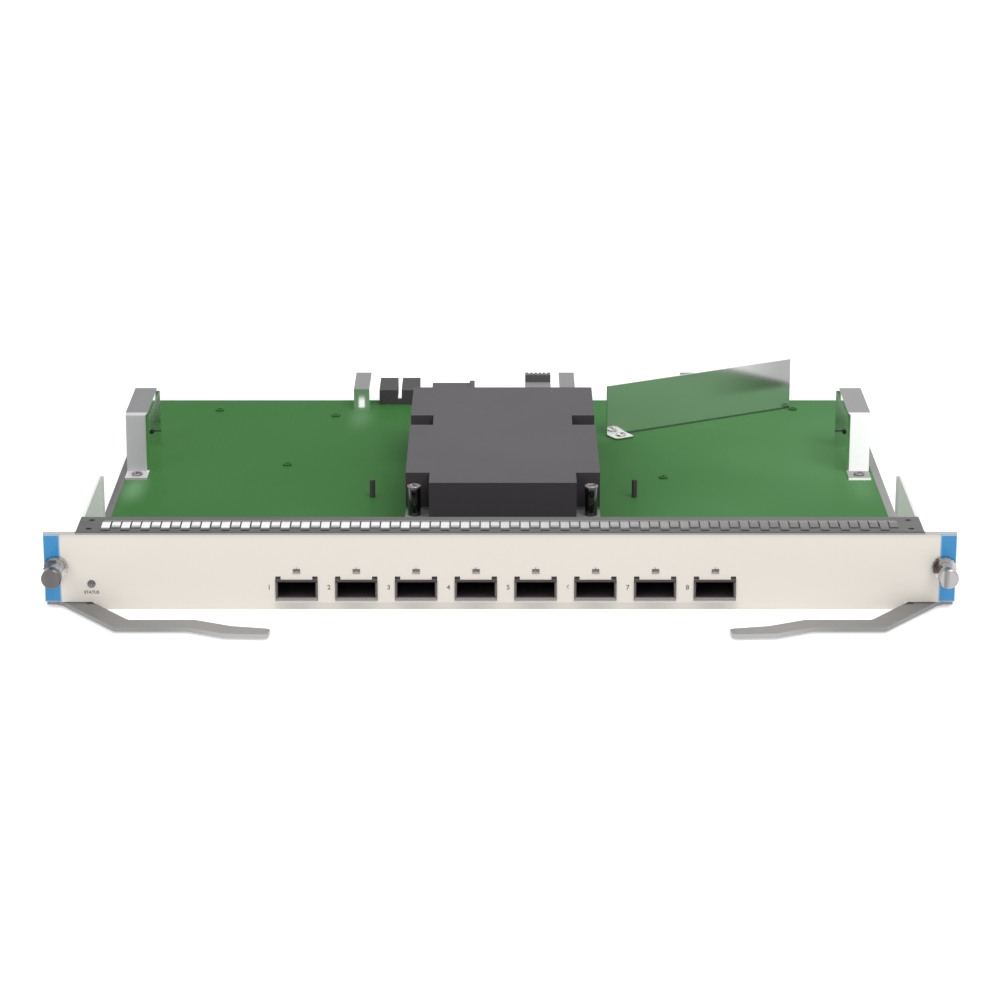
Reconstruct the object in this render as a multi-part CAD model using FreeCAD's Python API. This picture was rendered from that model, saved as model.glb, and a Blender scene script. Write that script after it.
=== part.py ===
import FreeCAD
import Part

import math
import os

# Eight-port switch line card for a modular network chassis, in millimetres.
# X runs along the front panel, +Y points from the panel into the chassis and +Z is up.
# The origin is the middle of the front panel's bottom front edge.

V = FreeCAD.Vector

# ---- whole card ----
card_width = 399.0
panel_height = 35.0
board_rear = 337.0
slip = 0.3                      # gap between pieces that move past each other
seat = 0.1                      # gap round a piece that is dropped into a hole
screw_radius = 1.5              # hole for every small screw
screw_gap = 0.02

# ---- front panel ----
panel_thickness = 2.0
panel_edge_radius = 0.8
lever_notch_top = 3.2
lever_notch_width = 22.2        # from the card's end

# ---- blue end trim ----
trim_width = 7.0
trim_proud = 0.4
trim_recess = 0.6
trim_bottom = 3.6
trim_top_gap = 0.9

# ---- top flange and its spring fingers ----
flange_end_gap = 14.1           # from the card's end
flange_depth = 24.3
flange_sheet = 1.2
flange_web_height = 13.0
flange_lip = 4.0
finger_end_gap = 10.2           # from the flange's end to the strip
finger_pitch = 4.375
finger_width = 3.7
finger_sheet = 0.2
finger_rise = 0.75
finger_foot = 16.9
finger_crown = 12.4
finger_front = 7.4
finger_rear = 16.3
hooked_nose_height = 0.5
free_nose_height = 0.12
finger_hook_front = 4.3
rail_depth = 1.8
hook_slot_depth = 1.3
flange_hole_radius = 1.3
flange_hole_inset = 5.3
flange_hole_places = (6.2, 18.9)

# ---- tray and circuit board ----
tray_sheet = 1.2
tray_end_gap = 11.5             # from the card's end
tray_rail_width = 3.8
tray_height = 4.0
tray_fold_short = 4.0           # from the board's notch
tray_fold_top = 1.8
corner_cut_inset = 24.5         # from the card's end
corner_cut_y = 26.0
board_thickness = 1.6
board_corner_inset = 33.5       # from the card's end
boss_radius = 3.4
board_screw_head_radius = 2.2
board_screw_head_height = 1.1
board_screw_places = [(-148.1, 315.9), (-86.3, 304.9), (-106.2, 212.7), (80.4, 189.8), (154.8, 317.8)]
post_radius = 1.3
post_height = 8.8
post_places = [(-61.6, 157.3), (64.9, 157.3)]

# ---- side plates ----
side_plate_step = 0.2           # inside the flange's end
side_plate_sheet = 1.2
side_plate_rear = 88.5
side_plate_hem = 1.3

# ---- ports ----
port_count = 8
port_pitch = 26.19
port_centre = 2.5
cage_width = 18.4
cage_height = 9.4
cage_depth = 48.0
cage_sheet = 0.5
cage_lip_side = 0.9
cage_lip_bottom = 1.4
cage_lip_top = 1.1
cage_lip_depth = 1.2
cage_proud = 0.5
cage_chamfer = 0.4
ear_notch_width = 2.4
ear_notch_height = 1.5
plug_block_width = 14.8
plug_block_height = 7.4
plug_block_depth = 9.2
plug_slot_width = 12.4
plug_slot_height = 1.3
plug_slot_depth = 5.5

# ---- light pipes ----
port_light_width = 3.0
port_light_height = 2.0
port_light_z = 17.3
port_light_shift = 0.1
port_light_behind = 2.0
status_light_radius = 1.7
status_light_inset = 20.5       # from the card's left end
status_light_z = 11.6
status_light_depth = 30.0
light_proud = 0.3
led_height = 0.8
led_size = (1.8, 1.2)

# ---- switch chip and heat sink ----
sink_centre = 1.3
sink_width = 90.6
sink_front = 87.0
sink_rear = 258.3
sink_top = 32.0
chip_side = 56.0
chip_height = 4.0
chip_lid_side = 40.0
chip_lid_height = 1.2
sink_base_height = 4.8
fin_count = 41
fin_thickness = 1.0
end_fin_thickness = 2.0
sink_lid_thickness = 1.4
corner_cut_width = 11.2
corner_cut_fin = 4              # the corner cut ends at this fin
side_cut_fins = (25, 29)        # the side cut lies between these fins
side_cut_margin = 1.3
sink_screw_spread = 41.0
sink_screw_front = 95.3
sink_screw_rear = 196.1
sink_screw_radius = 1.4
sink_head_radius = 3.3
sink_head_height = 1.2
sink_head_top = 28.7
sink_cup_radius = 2.95
sink_cup_wall = 0.9
coil_steps = 8                  # straight steps in each turn of a spring

# ---- bridge brackets over the board's sides ----
bridge_insets = (20.6, 22.6)    # from the card's left and right ends
bridge_width = 11.0
bridge_front = 198.0
bridge_rear = 247.3
bridge_sheet = 1.2
bridge_bend = 1.8
bridge_front_foot = 12.0
bridge_rear_foot = 8.5
bridge_flange_drop = 3.4
bridge_flange_depth = 5.0
bridge_rear_ear = 1.3
bridge_head_radius = 2.7
bridge_head_height = 1.3
side_screw_z = 12.3
side_screw_inset = 3.4
side_slit = 0.6
side_head_radius = 1.2
side_head_height = 1.8
side_shank_radius = 0.8
side_tail_height = 0.4
side_screw_past = 1.5
bridge_foot_screws = (6.5, 4.45)        # from the legs to the middle of the foot screws

# ---- air baffle ----
baffle_start = (55.1, 265.0)
baffle_end = (153.2, 320.8)
baffle_top = 30.7
baffle_sheet = 1.0
baffle_tab_length = 11.0
baffle_tab_depth = 9.0
baffle_tab_corner = 2.0
baffle_head_radius = 2.6
baffle_head_height = 1.3

# ---- rear connectors ----
guide_width = 8.2
guide_depth = 35.0
guide_proud = 14.3              # past the tray's rear edge
guide_height = 11.5
guide_bore_radius = 2.6
guide_bore_depth = 24.0
guide_lead_in = 0.8
guide_centres = (-73.0, 35.5, 100.6)
power_width = 9.5
power_height = 7.9
connector_proud = 17.0          # past the tray's rear edge
connector_depth = 26.0
power_centres = (-59.3, -47.5)
power_cell = 2.6
power_cell_depth = 6.0
power_link_height = 2.4
power_link_depth = 4.0
signal_left = -36.2
signal_right = -13.6
signal_height = 5.1
signal_depth = 28.0
signal_tab_width = 2.7
signal_tab_rise = 1.2
signal_columns = 6
signal_cell_width = 2.2
signal_cell_wall = 0.8
mezzanine_left = 13.5
mezzanine_right = 27.1
mezzanine_height = 10.8
mezzanine_base = 6.8
mezzanine_rim_depth = 5.3
mezzanine_teeth = 6
mezzanine_gap_width = 0.7
mezzanine_gap_depth = 0.6

# ---- ejector levers: plan shape of the left one ----
lever_bottom = 0.9
lever_sheet = 2.0
lever_pivot_inset = 9.5         # from the card's end
lever_pivot_y = 7.0
lever_boss_radius = 6.0
lever_width = 10.2
lever_tip_width = 7.6
lever_bends = [(26.6, -35.2), (56.8, -35.2), (73.0, -43.4), (91.2, -45.8)]     # from the pivot
lever_edge_radius = 2.2
claw_reach = 9.2
claw_half_height = 6.2
claw_slot_width = 3.4
claw_slot_depth = 4.0
claw_slot_behind = 2.6          # from the pivot to the slot's middle
pivot_radius = 2.5
pivot_clearance = 0.05
pivot_head_radius = 4.0
pivot_head_height = 0.5
pivot_rivet_radius = 3.3
pivot_rivet_height = 1.1
bracket_sheet = 1.5
bracket_end_gap = 1.5           # from the card's end
bracket_width = 16.0
bracket_depth = 20.0
bracket_web_top = 9.0
bracket_corner = 3.0

# ---- captive thumbscrews ----
screw_inset = 5.3               # from the card's end
screw_z = 19.5
ring_radius = 5.3
ring_length = 3.0
knurl_teeth = 16
knurl_depth = 0.35
sleeve_radius = 3.9
sleeve_rear = 14.0
sleeve_wall = 3.0
neck_radius = 3.1
neck_clearance = 0.08
neck_front = -14.0
neck_rear = -2.4
head_radius = 4.35
head_length = 4.2
head_chamfer = 0.5
shank_radius = 1.75
thread_radius = 2.0
thread_length = 4.0
captive_radius = 3.2
captive_sheet = 0.6
screw_travel = 10.0
spring_wire = 0.28
spring_turns = 4

# ---- places worked out from the sizes above ----
half_card = card_width / 2
lever_notch_inner = half_card - lever_notch_width
trim_top = panel_height - trim_top_gap
flange_half_width = half_card - flange_end_gap
flange_web_bottom = panel_height - flange_web_height
tray_half_width = half_card - tray_end_gap
corner_cut_x = half_card - corner_cut_inset
board_corner_x = half_card - board_corner_inset
side_plate_outer = flange_half_width - side_plate_step
status_light_x = status_light_inset - half_card
bridge_centres = (bridge_insets[0] - half_card, half_card - bridge_insets[1])
guide_rear = board_rear + guide_proud
connector_rear = board_rear + connector_proud
connector_front = connector_rear - connector_depth
lever_pivot_x = half_card - lever_pivot_inset
bracket_outer = half_card - bracket_end_gap
bracket_inner = bracket_outer - bracket_width
screw_x = half_card - screw_inset
board_bottom = tray_height - board_thickness
board_top = tray_height
board_half_width = tray_half_width - tray_rail_width - seat
finger_count = int((flange_half_width - finger_end_gap) * 2 / finger_pitch)
finger_span = finger_pitch * (finger_count - 1)
flange_front = panel_thickness
sink_left = sink_centre - sink_width / 2
sink_right = sink_centre + sink_width / 2
chip_y = (sink_screw_front + sink_screw_rear) / 2
sink_base_bottom = board_top + chip_height + chip_lid_height
fins_bottom = sink_base_bottom + sink_base_height
cage_top = board_top + cage_height
trim_face = -trim_proud
ring_front = trim_face - ring_length
lever_top = lever_bottom + lever_sheet
bracket_bottom = lever_top + slip
captive_rear = sleeve_rear + slip + captive_sheet
thread_start = captive_rear + seat


def box(x, y, z):
    """Box between the two ends given for each axis."""
    corner = V(min(x), min(y), min(z))
    return Part.makeBox(abs(x[1] - x[0]), abs(y[1] - y[0]), abs(z[1] - z[0]), corner)


def rod_z(radius, x, y, z):
    """Upright cylinder about (x, y) between two heights."""
    return Part.makeCylinder(radius, z[1] - z[0], V(x, y, z[0]), V(0, 0, 1))


def rod_y(radius, x, z, y):
    """Cylinder along Y about (x, z) between two depths."""
    return Part.makeCylinder(radius, y[1] - y[0], V(x, y[0], z), V(0, 1, 0))


def prism(points, along):
    """Closed outline pushed along a vector."""
    return flat_face(points).extrude(along)


def join(shapes):
    """One solid from several that touch or overlap."""
    return shapes[0].multiFuse(shapes[1:]).removeSplitter()


def group(shapes):
    """Separate solids kept together in one node."""
    return Part.makeCompound(shapes)


def mirrored(shape):
    """The right-hand twin of a left-hand shape."""
    return shape.mirror(V(0, 0, 0), V(1, 0, 0))


def edges_where(shape, test):
    """Edges of a shape whose two end points both pass a test."""
    return [edge for edge in shape.Edges if all(test(v.Point) for v in edge.Vertexes)]


def near(value, target):
    """True when two lengths are the same."""
    return abs(value - target) < 1e-4


def save(name, shape):
    """Write one node."""
    shape.exportStep(os.path.join("parts", name + ".step"))


def port_centres():
    """Middle of each port along the panel."""
    first = port_centre - port_pitch * (port_count - 1) / 2
    return [first + port_pitch * i for i in range(port_count)]


def finger_centres():
    """Middle of each spring finger along the flange."""
    return [finger_pitch * i - finger_span / 2 for i in range(finger_count)]


# ---- sheet metal ----

def front_panel():
    """Painted panel with lever notches, port openings, light holes and screw holes."""
    y = (0, panel_thickness)
    panel = box((-half_card, half_card), y, (0, panel_height))
    top_edge = edges_where(panel, lambda p: near(p.y, 0) and near(p.z, panel_height))
    panel = panel.makeFillet(panel_edge_radius, top_edge)
    through = (-1, panel_thickness + 1)
    cuts = []
    for side in (-1, 1):
        notch_x = (side * lever_notch_inner, side * (half_card + 1))
        cuts.append(box(notch_x, through, (-1, lever_notch_top)))
        recess_x = (side * (half_card - trim_width - seat), side * (half_card + 1))
        recess_z = (lever_notch_top - 1, trim_top + seat)
        cuts.append(box(recess_x, (-1, trim_recess), recess_z))
        cuts.append(rod_y(sleeve_radius + seat / 2, side * screw_x, screw_z, through))
    for x in port_centres():
        half = cage_width / 2 + seat
        top = cage_top + seat
        cuts.append(box((x - half, x + half), through, (board_top - seat, top)))
        for ear in (-1, 1):
            ear_x = (x + ear * half, x + ear * (half - ear_notch_width))
            cuts.append(box(ear_x, through, (top - 0.5, top + ear_notch_height)))
        light_x, light_z = port_light_section(x, seat)
        cuts.append(box(light_x, through, light_z))
    cuts.append(rod_y(status_light_radius + seat, status_light_x, status_light_z, through))
    return panel.cut(cuts)


def end_trim():
    """Blue trim plate let into the panel's left end, holed for the screw sleeve."""
    x = (-half_card, -half_card + trim_width)
    plate = box(x, (trim_face, trim_recess), (trim_bottom, trim_top))
    rim = edges_where(plate, lambda p: near(p.y, trim_face))
    plate = plate.makeChamfer(trim_proud * 0.8, rim)
    hole = rod_y(sleeve_radius + seat, -screw_x, screw_z, (trim_face - 1, trim_recess + 1))
    return plate.cut(hole)


def top_flange():
    """Folded bracket behind the panel's top edge, slotted for the spring strip's hooks."""
    x = (-flange_half_width, flange_half_width)
    top = panel_height
    deck = box(x, (flange_front, flange_depth), (top - flange_sheet, top))
    web = box(x, (flange_front, flange_front + flange_sheet), (flange_web_bottom, top))
    lip = box(x, (flange_depth - flange_sheet, flange_depth), (top - flange_lip, top))
    flange = join([deck, web, lip])
    bend = edges_where(flange, lambda p: near(p.y, flange_depth) and near(p.z, top))
    flange = flange.makeFillet(flange_sheet * 0.6, bend)
    through = (top - flange_sheet - 1, top + 1)
    cuts = []
    for x_mid in finger_centres()[::2]:
        slot_x = (x_mid - finger_width / 2, x_mid + finger_width / 2)
        slot_y = (finger_hook_front - hook_slot_depth, finger_hook_front)
        cuts.append(box(slot_x, slot_y, through))
    for side in (-1, 1):
        for y_mid in flange_hole_places:
            x_mid = side * (flange_half_width - flange_hole_inset)
            cuts.append(rod_z(flange_hole_radius, x_mid, y_mid, through))
    return flange.cut(cuts)


def finger_leaf(x_mid, nose_height, front):
    """One thin arched leaf: up from the rail, over its crown, down to the nose and on to a hook."""
    x = x_mid - finger_width / 2
    outline = [(finger_foot, 0), (finger_crown, finger_rise)]
    outline.append((finger_front, nose_height))
    if front < finger_front:
        outline.append((front, 0))
    upper = [V(x, y, panel_height + finger_sheet + rise) for y, rise in outline]
    lower = [point - V(0, 0, finger_sheet) for point in upper]
    return prism(upper + lower[::-1], V(finger_width, 0, 0))


def emi_finger_strip():
    """Clip-on strip: a rear rail with arched fingers, every second one hooked at the front."""
    ends = (-finger_span / 2 - finger_width / 2, finger_span / 2 + finger_width / 2)
    rail_z = (panel_height, panel_height + finger_sheet)
    pieces = [box(ends, (finger_rear, finger_rear + rail_depth), rail_z)]
    for i, x_mid in enumerate(finger_centres()):
        if i % 2 == 0:
            pieces.append(finger_leaf(x_mid, hooked_nose_height, finger_hook_front))
        else:
            pieces.append(finger_leaf(x_mid, free_nose_height, finger_front))
    return join(pieces)


def base_tray():
    """Pan under the board: plate, folded side rails, front fold and raised bosses."""
    plate_z = (0, tray_sheet)
    pieces = [box((-corner_cut_x, corner_cut_x), (panel_thickness, board_rear), plate_z)]
    for side in (-1, 1):
        outer = side * tray_half_width
        y = (corner_cut_y, board_rear)
        pieces.append(box((side * (corner_cut_x - 1), outer), y, plate_z))
        pieces.append(box((outer, outer - side * tray_sheet), y, (0, tray_height)))
        hem = (tray_height - tray_sheet, tray_height)
        pieces.append(box((outer, outer - side * tray_rail_width), y, hem))
    fold_y = (panel_thickness, panel_thickness + tray_sheet)
    fold_half = board_corner_x - tray_fold_short
    pieces.append(box((-fold_half, fold_half), fold_y, (0, tray_fold_top)))
    for x, y in board_screw_places:
        pieces.append(rod_z(boss_radius, x, y, (tray_sheet, board_bottom)))
    tray = join(pieces)
    holes = [rod_z(screw_radius, x, y, (-1, tray_height)) for x, y in board_screw_places]
    return tray.cut(holes)


def side_plate():
    """Upright stiffener on the left edge, from the flange back, with a hemmed rear edge."""
    outer = -side_plate_outer
    inner = outer + side_plate_sheet
    z = (board_top, panel_height)
    wall = box((outer, inner), (flange_depth, side_plate_rear), z)
    hem_y = (side_plate_rear - side_plate_sheet, side_plate_rear)
    hem = box((outer, inner + side_plate_hem), hem_y, z)
    return join([wall, hem])


def bridge_bracket(side):
    """Bent sheet bridge: two feet, two legs, a deck, a stiffening flange on its inner side."""
    centre = bridge_centres[0] if side < 0 else bridge_centres[1]
    inner = centre - side * bridge_width / 2
    outer = centre + side * bridge_width / 2
    y = (bridge_front, bridge_rear)
    top = panel_height
    shell = box((inner, outer), y, (board_top, top))
    bends = edges_where(shell, lambda p: near(p.z, top) and near(p.y, bridge_front))
    bends += edges_where(shell, lambda p: near(p.z, top) and near(p.y, bridge_rear))
    bends += edges_where(shell, lambda p: near(p.x, inner) and near(p.y, bridge_front))
    shell = shell.makeFillet(bridge_bend, bends)
    t = bridge_sheet
    hollow_x = (inner + side * t, outer + side * 1)
    hollow_y = (bridge_front + t, bridge_rear - t)
    hollow = box(hollow_x, hollow_y, (board_top - 1, top - t))
    window_y = (bridge_front + bridge_flange_depth, bridge_rear - t)
    window_z = (board_top - 1, top - bridge_flange_drop)
    window = box((inner - side * 1, inner + side * 2 * t), window_y, window_z)
    bridge = shell.cut([hollow, window])
    foot_z = (board_top, board_top + t)
    front_foot = box((inner, outer), (bridge_front + t, bridge_front - bridge_front_foot), foot_z)
    rear_foot = box((inner, outer), (bridge_rear - t, bridge_rear + bridge_rear_foot), foot_z)
    ear_x = (inner - side * bridge_rear_ear, inner + side * 2)
    rear_ear = box(ear_x, (bridge_rear - t, bridge_rear), (board_top, top - bridge_bend))
    bridge = join([bridge, front_foot, rear_foot, rear_ear])
    screw_x_mid = inner + side * side_screw_inset
    side_hole = side_shank_radius + screw_gap
    holes = [rod_y(side_hole, screw_x_mid, side_screw_z, (bridge_rear - 2 * t, bridge_rear + t))]
    slit_x = (screw_x_mid, inner - side * (bridge_rear_ear + 1))
    slit_z = (side_screw_z - side_slit / 2, side_screw_z + side_slit / 2)
    holes.append(box(slit_x, (bridge_rear - 2 * t, bridge_rear + t), slit_z))
    for x, foot_y in bridge_screw_places(side):
        holes.append(rod_z(screw_radius, x, foot_y, (board_top - 1, board_top + 2 * t)))
    return bridge.cut(holes)


def bridge_screw_places(side):
    """Where the two foot screws of a bridge stand."""
    centre = bridge_centres[0] if side < 0 else bridge_centres[1]
    return [(centre, bridge_front - bridge_foot_screws[0]), (centre, bridge_rear + bridge_foot_screws[1])]


def air_baffle():
    """Slanting upright plate with one foot tab bent forward at its left end."""
    start = V(baffle_start[0], baffle_start[1], 0)
    end = V(baffle_end[0], baffle_end[1], 0)
    length = (end - start).Length
    plate = box((0, length), (0, baffle_sheet), (board_top, baffle_top))
    tab_z = (board_top, board_top + baffle_sheet)
    tab = box((0, baffle_tab_length), (-baffle_tab_depth, baffle_sheet), tab_z)
    baffle = join([plate, tab])
    corner = edges_where(baffle, lambda p: near(p.y, -baffle_tab_depth) and near(p.x, baffle_tab_length))
    corner += edges_where(baffle, lambda p: near(p.y, -baffle_tab_depth) and near(p.x, 0))
    baffle = baffle.makeFillet(baffle_tab_corner, [e for e in corner if near(e.Length, baffle_sheet)])
    hole = rod_z(screw_radius, *baffle_screw_local(), (board_top - 1, board_top + 3))
    baffle = baffle.cut(hole)
    baffle.rotate(V(0, 0, 0), V(0, 0, 1), baffle_angle())
    baffle.translate(start)
    return baffle


def baffle_angle():
    """Turn of the baffle from the X axis, in degrees."""
    run = baffle_end[0] - baffle_start[0]
    rise = baffle_end[1] - baffle_start[1]
    return math.degrees(math.atan2(rise, run))


def baffle_screw_local():
    """The tab screw's place in the baffle's own axes."""
    return baffle_tab_length / 2, -baffle_tab_depth / 2


def baffle_screw_place():
    """The tab screw's place on the board."""
    point = FreeCAD.Rotation(V(0, 0, 1), baffle_angle()).multVec(V(*baffle_screw_local(), 0))
    return baffle_start[0] + point.x, baffle_start[1] + point.y


def lever_bracket():
    """Angle behind the panel's left end that carries the lever's pivot."""
    x = (-bracket_outer, -bracket_inner)
    y = (panel_thickness, bracket_depth)
    shelf = box(x, y, (bracket_bottom, bracket_bottom + bracket_sheet))
    web_y = (panel_thickness, panel_thickness + bracket_sheet)
    web = box(x, web_y, (bracket_bottom, bracket_web_top))
    bracket = join([shelf, web])
    rear = edges_where(bracket, lambda p: near(p.y, bracket_depth))
    rear = [edge for edge in rear if near(edge.Length, bracket_sheet)]
    bracket = bracket.makeFillet(bracket_corner, rear)
    hole = rod_z(pivot_radius + seat / 2, -lever_pivot_x, lever_pivot_y, (0, bracket_web_top))
    return bracket.cut(hole)


# ---- board and what stands on it ----

def circuit_board():
    """Board with notched front corners and holes for every screw that enters it."""
    front = panel_thickness + tray_sheet + slip
    z = (board_bottom, board_top)
    board = box((-board_half_width, board_half_width), (front, board_rear - 0.2), z)
    cuts = []
    for side in (-1, 1):
        x = (side * board_corner_x, side * (board_half_width + 1))
        cuts.append(box(x, (front - 1, corner_cut_y + seat), (0, board_top + 1)))
        for x_mid, y_mid in bridge_screw_places(side):
            cuts.append(rod_z(screw_radius, x_mid, y_mid, (0, board_top + 1)))
    for x, y in board_screw_places + [baffle_screw_place()]:
        cuts.append(rod_z(screw_radius, x, y, (0, board_top + 1)))
    for x, y in sink_screw_places():
        cuts.append(rod_z(sink_screw_radius, x, y, (0, board_top + 1)))
    return board.cut(cuts)


def flat_screw(x, y, under_head, head_radius, head_height, length):
    """Low-headed screw standing on a surface."""
    head = rod_z(head_radius, x, y, (under_head, under_head + head_height))
    shank = rod_z(screw_radius - screw_gap, x, y, (under_head - length, under_head))
    return join([head, shank])


def board_screws():
    """Screws that clamp the board to the tray's bosses."""
    length = board_top - 0.4
    shape = [board_screw_head_radius, board_screw_head_height, length]
    return group([flat_screw(x, y, board_top, *shape) for x, y in board_screw_places])


def bridge_screws():
    """Foot screws of both bridges."""
    under = board_top + bridge_sheet
    shape = [bridge_head_radius, bridge_head_height, board_thickness + bridge_sheet]
    places = bridge_screw_places(-1) + bridge_screw_places(1)
    return group([flat_screw(x, y, under, *shape) for x, y in places])


def bridge_side_screws():
    """Black screw in each rear leg's slotted hole, with a flat tail that lies in the slit."""
    screws = []
    for side in (-1, 1):
        inner = (bridge_centres[0] if side < 0 else bridge_centres[1]) - side * bridge_width / 2
        x = inner + side * side_screw_inset
        face = bridge_rear - bridge_sheet
        head = rod_y(side_head_radius, x, side_screw_z, (face - side_head_height, face))
        shank = rod_y(side_shank_radius, x, side_screw_z, (face, bridge_rear + side_screw_past))
        tail_x = (x, inner - side * bridge_rear_ear)
        tail_z = (side_screw_z - side_tail_height / 2, side_screw_z + side_tail_height / 2)
        tail = box(tail_x, (face, bridge_rear), tail_z)
        screws.append(join([head, shank, tail]))
    return group(screws)


def baffle_screw():
    """Screw through the baffle's foot tab."""
    x, y = baffle_screw_place()
    length = board_thickness + baffle_sheet
    return flat_screw(x, y, board_top + baffle_sheet, baffle_head_radius, baffle_head_height, length)


def board_posts():
    """Two black plastic posts."""
    posts = []
    for x, y in post_places:
        posts.append(rod_z(post_radius, x, y, (board_top, board_top + post_height)))
    return group(posts)


def port_cage(x):
    """Folded cage with a narrower mouth, open underneath where its connector stands."""
    half = cage_width / 2
    y = (-cage_proud, cage_depth)
    shell = box((x - half, x + half), y, (board_top, cage_top))
    mouth_x = (x - half + cage_lip_side, x + half - cage_lip_side)
    mouth_z = (board_top + cage_lip_bottom, cage_top - cage_lip_top)
    mouth = box(mouth_x, (-cage_proud - 1, cage_lip_depth + 1), mouth_z)
    inner_x = (x - half + cage_sheet, x + half - cage_sheet)
    inner_z = (board_top + cage_sheet, cage_top - cage_sheet)
    inner = box(inner_x, (cage_lip_depth, cage_depth - cage_sheet), inner_z)
    well_y = (cage_depth - cage_sheet - plug_block_depth - 1, cage_depth - cage_sheet)
    well = box(inner_x, well_y, (board_top - 1, board_top + 1))
    cage = shell.cut([mouth, inner, well])
    rim = edges_where(cage, lambda p: near(p.y, -cage_proud))
    inside = [e for e in rim if mouth_x[0] - 0.1 < e.CenterOfMass.x < mouth_x[1] + 0.1
              and mouth_z[0] - 0.1 < e.CenterOfMass.z < mouth_z[1] + 0.1]
    return cage.makeChamfer(cage_chamfer, inside)


def port_connectors():
    """Card-edge connector at the back of each cage."""
    rear = cage_depth - cage_sheet - slip
    front = rear - plug_block_depth
    blocks = []
    for x in port_centres():
        half = plug_block_width / 2
        block = box((x - half, x + half), (front, rear), (board_top, board_top + plug_block_height))
        slot_z = board_top + plug_block_height / 2
        slot = box((x - plug_slot_width / 2, x + plug_slot_width / 2), (front - 1, front + plug_slot_depth),
                   (slot_z - plug_slot_height / 2, slot_z + plug_slot_height / 2))
        blocks.append(block.cut(slot))
    return group(blocks)


def port_light_section(x, margin):
    """Width and height of the light pipe over the port at x, grown by a margin."""
    half = port_light_width / 2 + margin
    rise = port_light_height / 2 + margin
    middle = x + port_light_shift
    return (middle - half, middle + half), (port_light_z - rise, port_light_z + rise)


def turned_down(pipe, x, z, depth, leg):
    """Add the leg that takes a pipe's light up from the board, with a sloping mirror face."""
    foot = board_top + led_height + seat
    pipe = pipe.fuse(box(x, (depth - leg, depth), (foot, z[1])))
    behind = depth + 1
    slope = [V(x[0] - 1, behind, z[0] - 1), V(x[0] - 1, behind, z[1] + 1), V(x[0] - 1, depth - leg, z[1] + 1)]
    return pipe.cut(prism(slope, V(x[1] - x[0] + 2, 0, 0))).removeSplitter()


def port_light_pipes():
    """One flat light pipe over each cage, turned down behind it."""
    depth = port_light_depth()
    pipes = []
    for x in port_centres():
        light_x, light_z = port_light_section(x, 0)
        bar = box(light_x, (-light_proud, depth), light_z)
        pipes.append(turned_down(bar, light_x, light_z, depth, port_light_height))
    return group(pipes)


def port_light_depth():
    """How far back the port light pipes reach."""
    return cage_depth + port_light_behind + port_light_height


def status_light_pipe():
    """Round light pipe at the panel's left end."""
    r = status_light_radius
    rod = rod_y(r, status_light_x, status_light_z, (-light_proud, status_light_depth))
    x = (status_light_x - r, status_light_x + r)
    z = (status_light_z - r, status_light_z + r)
    return turned_down(rod, x, z, status_light_depth, 2 * r)


def board_lights():
    """The light-emitting chip under each pipe's leg."""
    y = port_light_depth() - port_light_height / 2
    places = [(x + port_light_shift, y) for x in port_centres()]
    places.append((status_light_x, status_light_depth - status_light_radius))
    z = (board_top, board_top + led_height)
    half_x, half_y = led_size[0] / 2, led_size[1] / 2
    return group([box((x - half_x, x + half_x), (y_mid - half_y, y_mid + half_y), z)
                  for x, y_mid in places])


def switch_chip():
    """Switch chip package with its metal lid."""
    half = chip_side / 2
    lid = chip_lid_side / 2
    body_top = board_top + chip_height
    body_x = (sink_centre - half, sink_centre + half)
    body = box(body_x, (chip_y - half, chip_y + half), (board_top, body_top))
    lid_x = (sink_centre - lid, sink_centre + lid)
    cap = box(lid_x, (chip_y - lid, chip_y + lid), (body_top, body_top + chip_lid_height))
    return join([body, cap])


def sink_screw_places():
    """Screws in the two front corners and in the two side cut-outs."""
    return [(sink_centre + side * sink_screw_spread, y)
            for side in (-1, 1) for y in (sink_screw_front, sink_screw_rear)]


def heat_sink_base():
    """Aluminium base plate, with a hole for each spring screw."""
    base = box((sink_left, sink_right), (sink_front, sink_rear), (sink_base_bottom, fins_bottom))
    holes = [rod_z(sink_screw_radius + seat, x, y, (0, sink_top)) for x, y in sink_screw_places()]
    return base.cut(holes)


def fin_front(i):
    """Front face of the fin with this number, counted from the one next to the front end fin."""
    step = (sink_rear - sink_front - end_fin_thickness) / (fin_count + 1)
    return sink_front + (end_fin_thickness - fin_thickness) / 2 + step * i


def heat_sink():
    """Fin pack: cross fins under a closed lid, cut away for the four spring screws."""
    x = (sink_left, sink_right)
    z = (fins_bottom, sink_top)
    pieces = [box(x, (sink_front, sink_rear), (sink_top - sink_lid_thickness, sink_top))]
    for y in (sink_front, sink_rear - end_fin_thickness):
        pieces.append(box(x, (y, y + end_fin_thickness), z))
    for i in range(1, fin_count + 1):
        pieces.append(box(x, (fin_front(i), fin_front(i) + fin_thickness), z))
    fins = join(pieces)
    corner_y = (sink_front, fin_front(corner_cut_fin))
    side_y = (fin_front(side_cut_fins[0]) - side_cut_margin, fin_front(side_cut_fins[1]))
    cuts = []
    walls = []
    for edge, inward in ((sink_left, 1), (sink_right, -1)):
        inner = edge + inward * corner_cut_width
        cuts.append(box((edge - inward, inner), (sink_front - 1, corner_y[1]), (0, sink_top + 1)))
        cuts.append(box((edge - inward, inner), side_y, (0, sink_top + 1)))
        for y in (corner_y, side_y):
            walls.append(box((inner, inner + inward * fin_thickness), y, z))
    return join([fins.cut(cuts)] + walls)


def heat_sink_screws():
    """Shouldered spring screws: a broad head and a shank that ends in the board."""
    screws = []
    for x, y in sink_screw_places():
        head_bottom = sink_head_top - sink_head_height
        head = rod_z(sink_head_radius, x, y, (head_bottom, sink_head_top))
        shank = rod_z(sink_screw_radius - screw_gap, x, y, (board_bottom, head_bottom))
        screws.append(join([head, shank]))
    return group(screws)


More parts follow.
